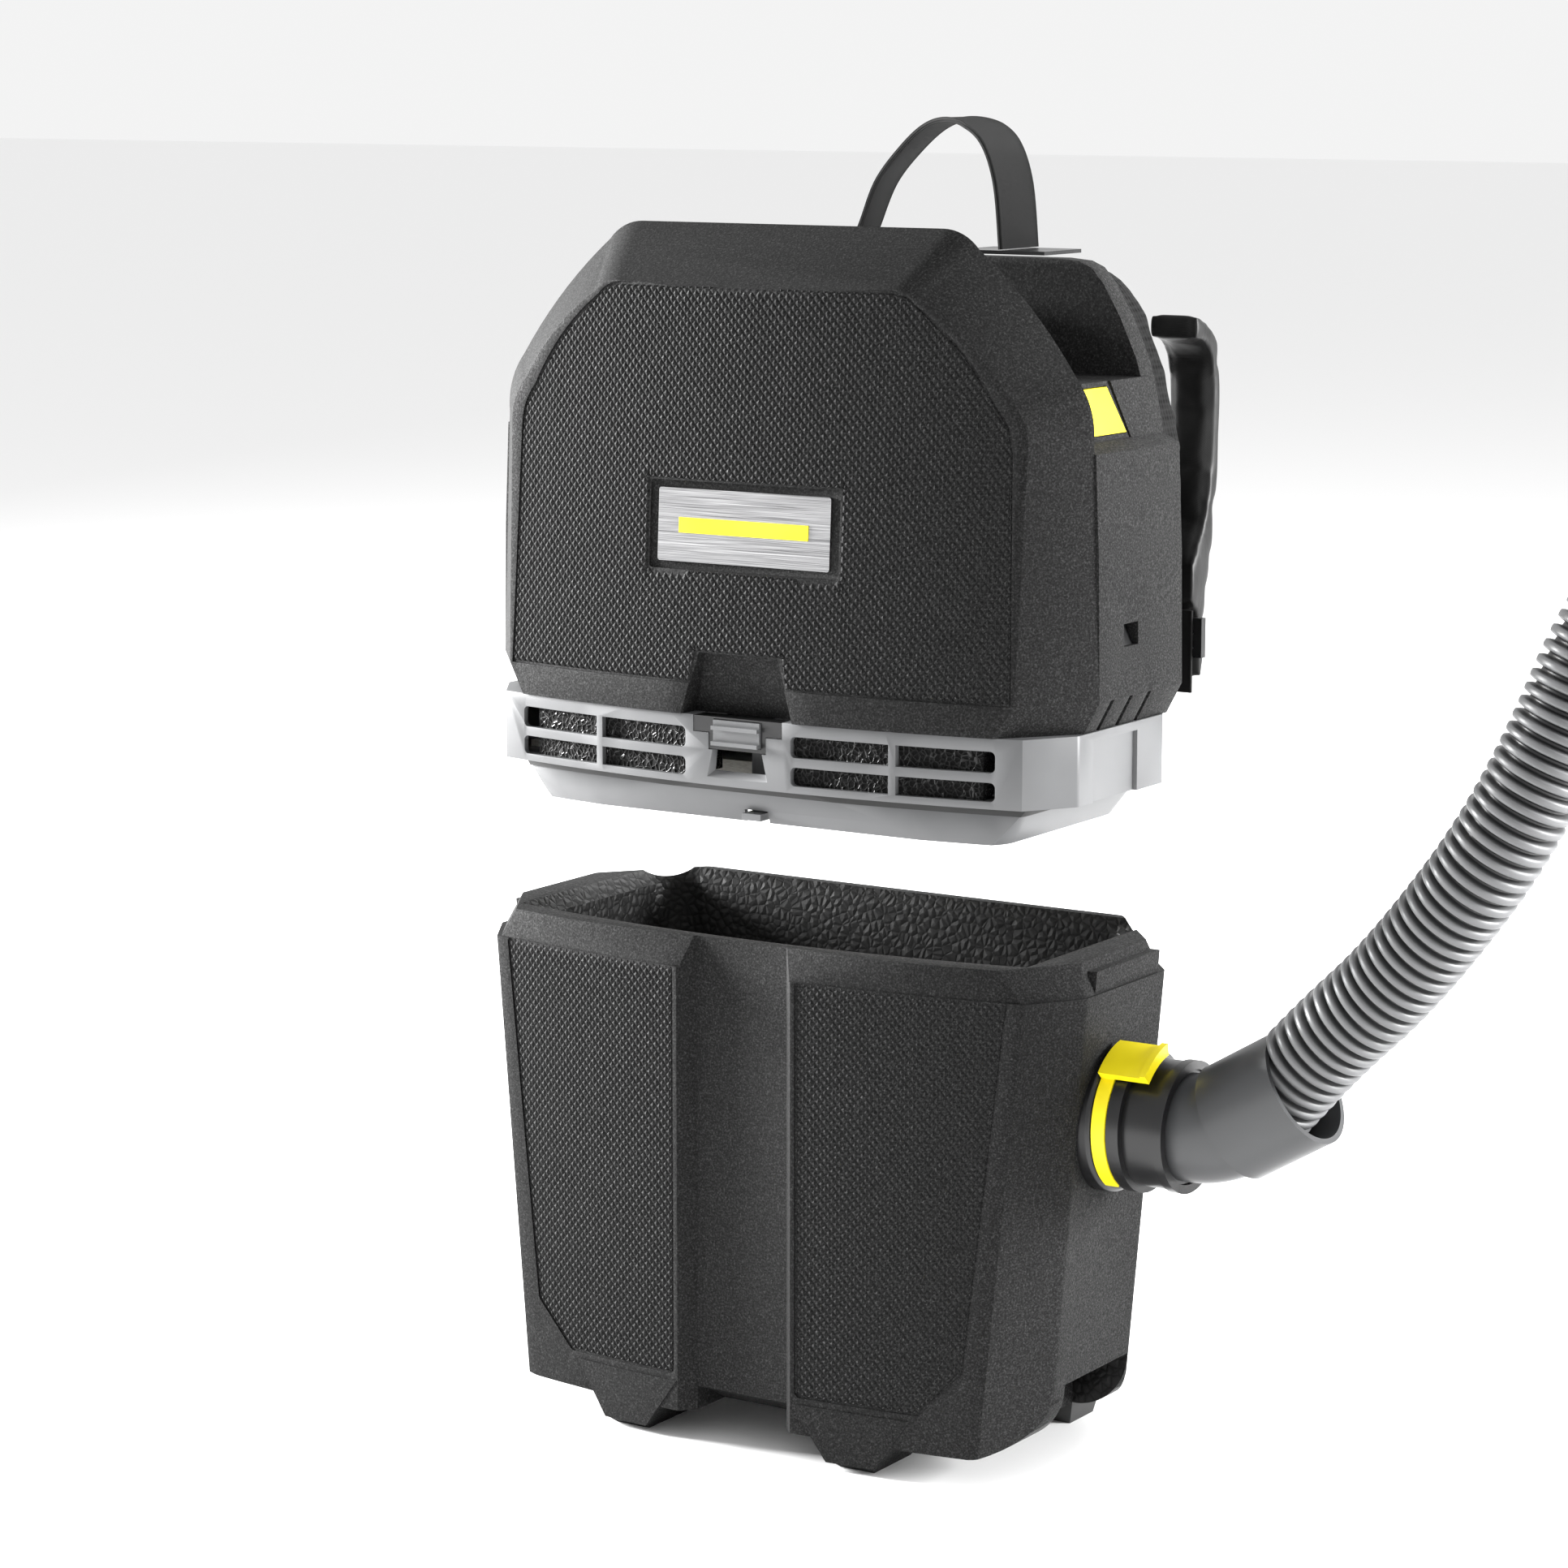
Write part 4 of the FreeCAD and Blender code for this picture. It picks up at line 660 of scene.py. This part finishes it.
# %% Raised field on a shell
def diamond_field(name, body, shell, outline, gaps=(), raise_by=0.75, clear=0.05, tuck=0.4):
    """A sheet of raised diamonds inside the outline, with gaps left out, laid on a shell."""
    sheet = diamond_sheet(name, outline, gaps)
    lay = sheet.modifiers.new("lay", "SHRINKWRAP")
    lay.target = shell
    lay.wrap_method = "PROJECT"
    lay.use_project_y = True
    lay.use_project_z = False
    lay.use_positive_direction = True
    lay.use_negative_direction = False
    lay.offset = clear * MM
    bpy.ops.object.modifier_apply(modifier="lay")
    bpy.ops.object.mode_set(mode="EDIT")
    bpy.ops.mesh.select_mode(type="EDGE")
    bpy.ops.mesh.select_all(action="DESELECT")
    bpy.ops.mesh.select_non_manifold()
    bpy.ops.mesh.extrude_edges_move(TRANSFORM_OT_translate={"value": (0, tuck * MM, 0)})
    bpy.ops.mesh.select_mode(type="FACE")
    bpy.ops.object.mode_set(mode="OBJECT")
    for face in sheet.data.polygons:
        face.select = abs(face.normal.y) > 0.7
    bpy.ops.object.mode_set(mode="EDIT")
    bpy.ops.mesh.poke(offset=raise_by * MM)
    bpy.ops.object.mode_set(mode="OBJECT")
    depths = [v.co.y for v in sheet.data.vertices]
    print(name, "faces", len(sheet.data.polygons), "y", round(min(depths), 4), round(max(depths), 4))
    sheet.data.materials.append(foam)
    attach(sheet, body)
    return sheet


# %% [markdown]
# ### The three fields
# The cover's field follows the cover's own shape a few millimetres inside its edge, with a rounded
# turn at each shoulder. The tub's two fields mirror each other on either side of the channel.

# %% Three fields
cover_half = [(131.5, 351), (128.5, 458), (126.4, 468.5), (120.4, 477.5), (104.8, 500),
              (83.5, 518.8), (77.8, 523.3), (70, 524.8)]
cover_outline = cover_half + [(-x, z) for x, z in reversed(cover_half)]
badge_gap = [(-51, 400), (51, 400), (51, 440), (-51, 440)]
notch_gap = [(-27.5, 340), (27.5, 340), (23, 364.6), (-23, 364.6)]
diamond_field("cover_diamonds", "head", cover, cover_outline, [badge_gap, notch_gap])
tub_field = [(33.5, 32), (93.3, 32), (114, 52.6), (132.8, 221), (33.5, 221)]
diamond_field("tub_diamonds_right", "container", tub, tub_field)
diamond_field("tub_diamonds_left", "container", tub, [(-x, z) for x, z in reversed(tub_field)])

# %% [markdown]
# ## Padded pieces
# The back pad, the shoulder straps and the dust bag are filled fabric. Each starts as a slightly
# smaller copy of its solid, is remeshed to even faces and is blown up by a cloth simulation, which
# gives the crowned faces and soft corners that filled fabric has. How far a point may move is capped,
# so the piece stays in its own room.


# %% Puff up a solid
def puffed(node, name, voxel, shrink, cap, pressure=4.0):
    """A soft copy of a CAD solid: drawn in, remeshed, blown up by cloth, then smoothed."""
    piece = bpy.data.objects.new(name, nodes[node].data.copy())
    bpy.context.collection.objects.link(piece)
    piece.data.materials.clear()
    only(piece)
    bpy.ops.object.mode_set(mode="EDIT")
    bpy.ops.mesh.select_all(action="SELECT")
    bpy.ops.mesh.remove_doubles(threshold=0.00002)
    bpy.ops.object.mode_set(mode="OBJECT")
    mesher = piece.modifiers.new("mesh", "REMESH")
    mesher.mode = "VOXEL"
    mesher.voxel_size = voxel * MM
    bpy.ops.object.modifier_apply(modifier="mesh")
    smoother = piece.modifiers.new("smooth", "SMOOTH")
    smoother.iterations = 6
    bpy.ops.object.modifier_apply(modifier="smooth")
    for vertex in piece.data.vertices:
        vertex.co -= vertex.normal * shrink * MM
    before = [v.co.copy() for v in piece.data.vertices]
    cloth = piece.modifiers.new("cloth", "CLOTH")
    cloth.settings.use_pressure = True
    cloth.settings.uniform_pressure_force = pressure
    cloth.settings.effector_weights.gravity = 0
    cloth.settings.mass = 0.3
    for moment in range(1, 21):
        bpy.context.scene.frame_set(moment)
    bpy.ops.object.modifier_apply(modifier="cloth")
    bpy.context.scene.frame_set(1)
    most = 0
    for vertex, start in zip(piece.data.vertices, before):
        move = vertex.co - start
        most = max(most, move.length)
        if move.length > cap * MM:
            vertex.co = start + move.normalized() * cap * MM
    print(name, "moved up to", round(most / MM, 1), "mm")
    return piece


# %% [markdown]
# ### Room and smoothness
# A filled piece presses against its neighbours and is flattened there. Holding its points inside its
# room gives that flat, and one subdivision afterwards rounds the creases.


# %% Keep a piece in its room
def keep_in_room(piece, low, high):
    """Hold every point between two corners, in mm."""
    for vertex in piece.data.vertices:
        for axis in range(3):
            vertex.co[axis] = min(max(vertex.co[axis], low[axis] * MM), high[axis] * MM)


def finer(piece):
    """One level of subdivision, applied, with smooth shading."""
    only(piece)
    levels = piece.modifiers.new("finer", "SUBSURF")
    levels.levels = levels.render_levels = 1
    bpy.ops.object.modifier_apply(modifier="finer")
    piece.data.shade_smooth()


# %% [markdown]
# ### Back pad
# The pad lies between the wearer and the machine. Three rows and two columns of quilting pull its
# padding in. The filled pad is then held flat at its full thickness, so the channels stay open only
# where they cross, as tufts. A line runs round its edge where its two fabrics are sewn together.

# %% Back pad
quilt_rows, quilt_column, quilt_depth, quilt_width = (392, 446, 500), 52, 3.2, 5.0
sewn_y, sewn_depth, sewn_width = 46.5, 1.4, 2.6
pad = puffed("back_pad", "back_pad_soft", 5, 3.0, 6)
for vertex in pad.data.vertices:
    x, y, z = (c / MM for c in vertex.co)
    if y > 50:
        for seam in quilt_rows:
            vertex.co.y -= quilt_depth * MM * math.exp(-((z - seam) / quilt_width) ** 2)
        vertex.co.y -= quilt_depth * MM * math.exp(-((abs(x) - quilt_column) / quilt_width) ** 2)
    edge_line = math.exp(-((y - sewn_y) / sewn_width) ** 2)
    vertex.co -= vertex.normal * sewn_depth * MM * edge_line * (1 - abs(vertex.normal.y))
keep_in_room(pad, (-152.5, 30.9, 336.6), (152.5, 62.0, 537.2))
finer(pad)
pad.data.materials.append(spacer)
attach(pad, "head")
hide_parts("back_pad")
print("back pad faces", len(pad.data.polygons))

# %% [markdown]
# ### Shoulder straps
# Each strap is a padded band folded down against the pad, turned over at its top. A seam runs along
# both of its edges, a few millimetres in, and presses a shallow groove into the padding.

# %% Shoulder straps
strap_middle, strap_half_width = 132, 14
seam_in, seam_depth, seam_width = 4.2, 0.9, 1.3
for label in ("right", "left"):
    strap = puffed("shoulder_strap_" + label, "strap_soft_" + label, 3, 1.3, 3, 3.0)
    for vertex in strap.data.vertices:
        from_edge = strap_half_width - abs(abs(vertex.co.x) / MM - strap_middle)
        if from_edge > 1.5:
            seam_line = math.exp(-((from_edge - seam_in) / seam_width) ** 2)
            vertex.co -= vertex.normal * seam_depth * MM * seam_line
    keep_in_room(strap, (-147, 62.25, 344), (147, 93, 512.5))
    finer(strap)
    strap.data.materials.append(satin)
    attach(strap, "head")
    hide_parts("shoulder_strap_" + label)
    print(strap.name, "faces", len(strap.data.polygons))

# %% [markdown]
# ### Dust bag
# The bag is thin fleece, blown out by the air that passes through it. It doesn't stretch, so its
# surface gathers in soft folds; two crossed waves that bend each other give folds without a beat.

# %% Dust bag
fold_height = 1.6
bag = puffed("dust_bag", "dust_bag_soft", 6, 4.0, 8)
for vertex in bag.data.vertices:
    x, y, z = (c / MM for c in vertex.co)
    fold = math.sin(z / 9 + 2.2 * math.sin(x / 31)) * math.sin(x / 17 + y / 23)
    vertex.co += vertex.normal * fold_height * MM * fold
keep_in_room(bag, (-111, -66, 21.6), (109, 38, 184))
finer(bag)
bag.data.materials.append(fleece)
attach(bag, "container")
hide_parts("dust_bag")
print("dust bag faces", len(bag.data.polygons))


# %% [markdown]
# ## Webbing
# The carrying handle and the lower ends of the harness are woven tape. A tape is drawn along its
# middle line as rows across its width: a flat face on both sides and a rounded, thicker selvedge at
# each edge. Its own map runs along the tape, so the weave follows it round the bends.


# %% Tape along a line
def tape(name, body, node, line, across, width, thick, narrow=None):
    """Woven tape along a line of points in mm; narrow gives its share of the full width along it."""
    half = width / 2
    section = [(-1, 0), (-0.985, 0.42), (-0.95, 0.5), (-0.9, 0.40)]
    section += [(-0.8 + 0.2 * i, 0.4) for i in range(9)]
    section += [(0.9, 0.40), (0.95, 0.5), (0.985, 0.42), (1, 0)]
    section += [(u, -h) for u, h in reversed(section[1:-1])]
    count = len(section)
    corners, quads, along = [], [], [0.0]
    for i, point in enumerate(line):
        ahead = (line[min(i + 1, len(line) - 1)] - line[max(i - 1, 0)]).normalized()
        up = ahead.cross(across).normalized()
        if i:
            along.append(along[-1] + (point - line[i - 1]).length)
        share = narrow(i / (len(line) - 1)) if narrow else 1
        corners += [(point + across * u * half * share + up * h * thick) * MM for u, h in section]
    for i in range(len(line) - 1):
        for k in range(count):
            a, b = i * count + k, i * count + (k + 1) % count
            quads.append((a, b, b + count, a + count))
    quads.append(tuple(reversed(range(count))))
    quads.append(tuple(range((len(line) - 1) * count, len(line) * count)))
    mesh = bpy.data.meshes.new(name)
    mesh.from_pydata(corners, [], quads)
    uv = mesh.uv_layers.new(name="weave")
    for loop in mesh.loops:
        i, k = divmod(loop.vertex_index, count)
        uv.data[loop.index].uv = (section[k][0] * half * MM * 10, along[i] * MM * 10)
    piece = bpy.data.objects.new(name, mesh)
    bpy.context.collection.objects.link(piece)
    only(piece)
    bpy.ops.object.mode_set(mode="EDIT")
    bpy.ops.mesh.select_all(action="SELECT")
    bpy.ops.mesh.normals_make_consistent(inside=False)
    bpy.ops.object.mode_set(mode="OBJECT")
    mesh.shade_smooth()
    bpy.ops.object.shade_smooth_by_angle(angle=math.radians(50))
    mesh.materials.append(woven)
    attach(piece, body)
    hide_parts(node)
    print(name, "length", round(along[-1]), "mm")
    return piece


# %% [markdown]
# ### A line that sags smoothly
# A hanging tape has no corners. The line passes through the chosen points as a Catmull-Rom curve,
# which needs no handles and never leaves its points.


# %% Smooth line through points
def smooth_line(points, count):
    """Points along a smooth curve through the given ones."""
    line = []
    for step in range(count + 1):
        place = step / count * (len(points) - 1)
        i = min(int(place), len(points) - 2)
        t = place - i
        p0, p1, p2, p3 = (Vector(points[min(max(j, 0), len(points) - 1)]) for j in (i - 1, i, i + 1, i + 2))
        line.append(0.5 * (2 * p1 + (p2 - p0) * t + (2 * p0 - 5 * p1 + 4 * p2 - p3) * t ** 2
                           + (3 * p1 - 3 * p2 + p3 - p0) * t ** 3))
    return line


# %% [markdown]
# ### Carrying handle
# The handle is a loop of wide tape that stands up and leans to the right. Its left leg is folded for
# the grip, so the tape starts at half its width and opens out over the top of the loop.

# %% Carrying handle
handle_y, pad_top_z = 48, 536.5
loop_points = [(-21.5, 3.0), (-17.5, 12), (-9, 31), (4, 46), (17, 56.5), (29, 60), (42, 57.5), (52, 49),
               (58.5, 31), (61.5, 2.4)]
loop_line = smooth_line([(x, handle_y, pad_top_z + z) for x, z in loop_points], 64)


def handle_width(along):
    """The tape is folded together for the grip and opens to its full width on the right."""
    if along < 0.15:
        return 0.52
    if along < 0.55:
        return 0.52 + 0.18 * (along - 0.15) / 0.4
    return min(1.0, 0.70 + 0.30 * (along - 0.55) / 0.12)


tape("carrying_handle", "head", "top_handle", loop_line, Vector((0, 1, 0)), 34, 2.4, handle_width)

# %% [markdown]
# ### Harness tapes
# Below each shoulder strap a short narrow tape comes out of the padding and runs down to its buckle.
# It is pulled straight, so its line is straight too.

# %% Harness tapes
tape_low_z, tape_length, steps = 340, 37.5, 12
for side, label in ((1, "right"), (-1, "left")):
    low_line = [Vector((side * 135, 63.2, tape_low_z + tape_length * i / steps)) for i in range(steps + 1)]
    tape("harness_tape_" + label, "head", "strap_webbing_" + label, low_line, Vector((1, 0, 0)), 20, 1.8)
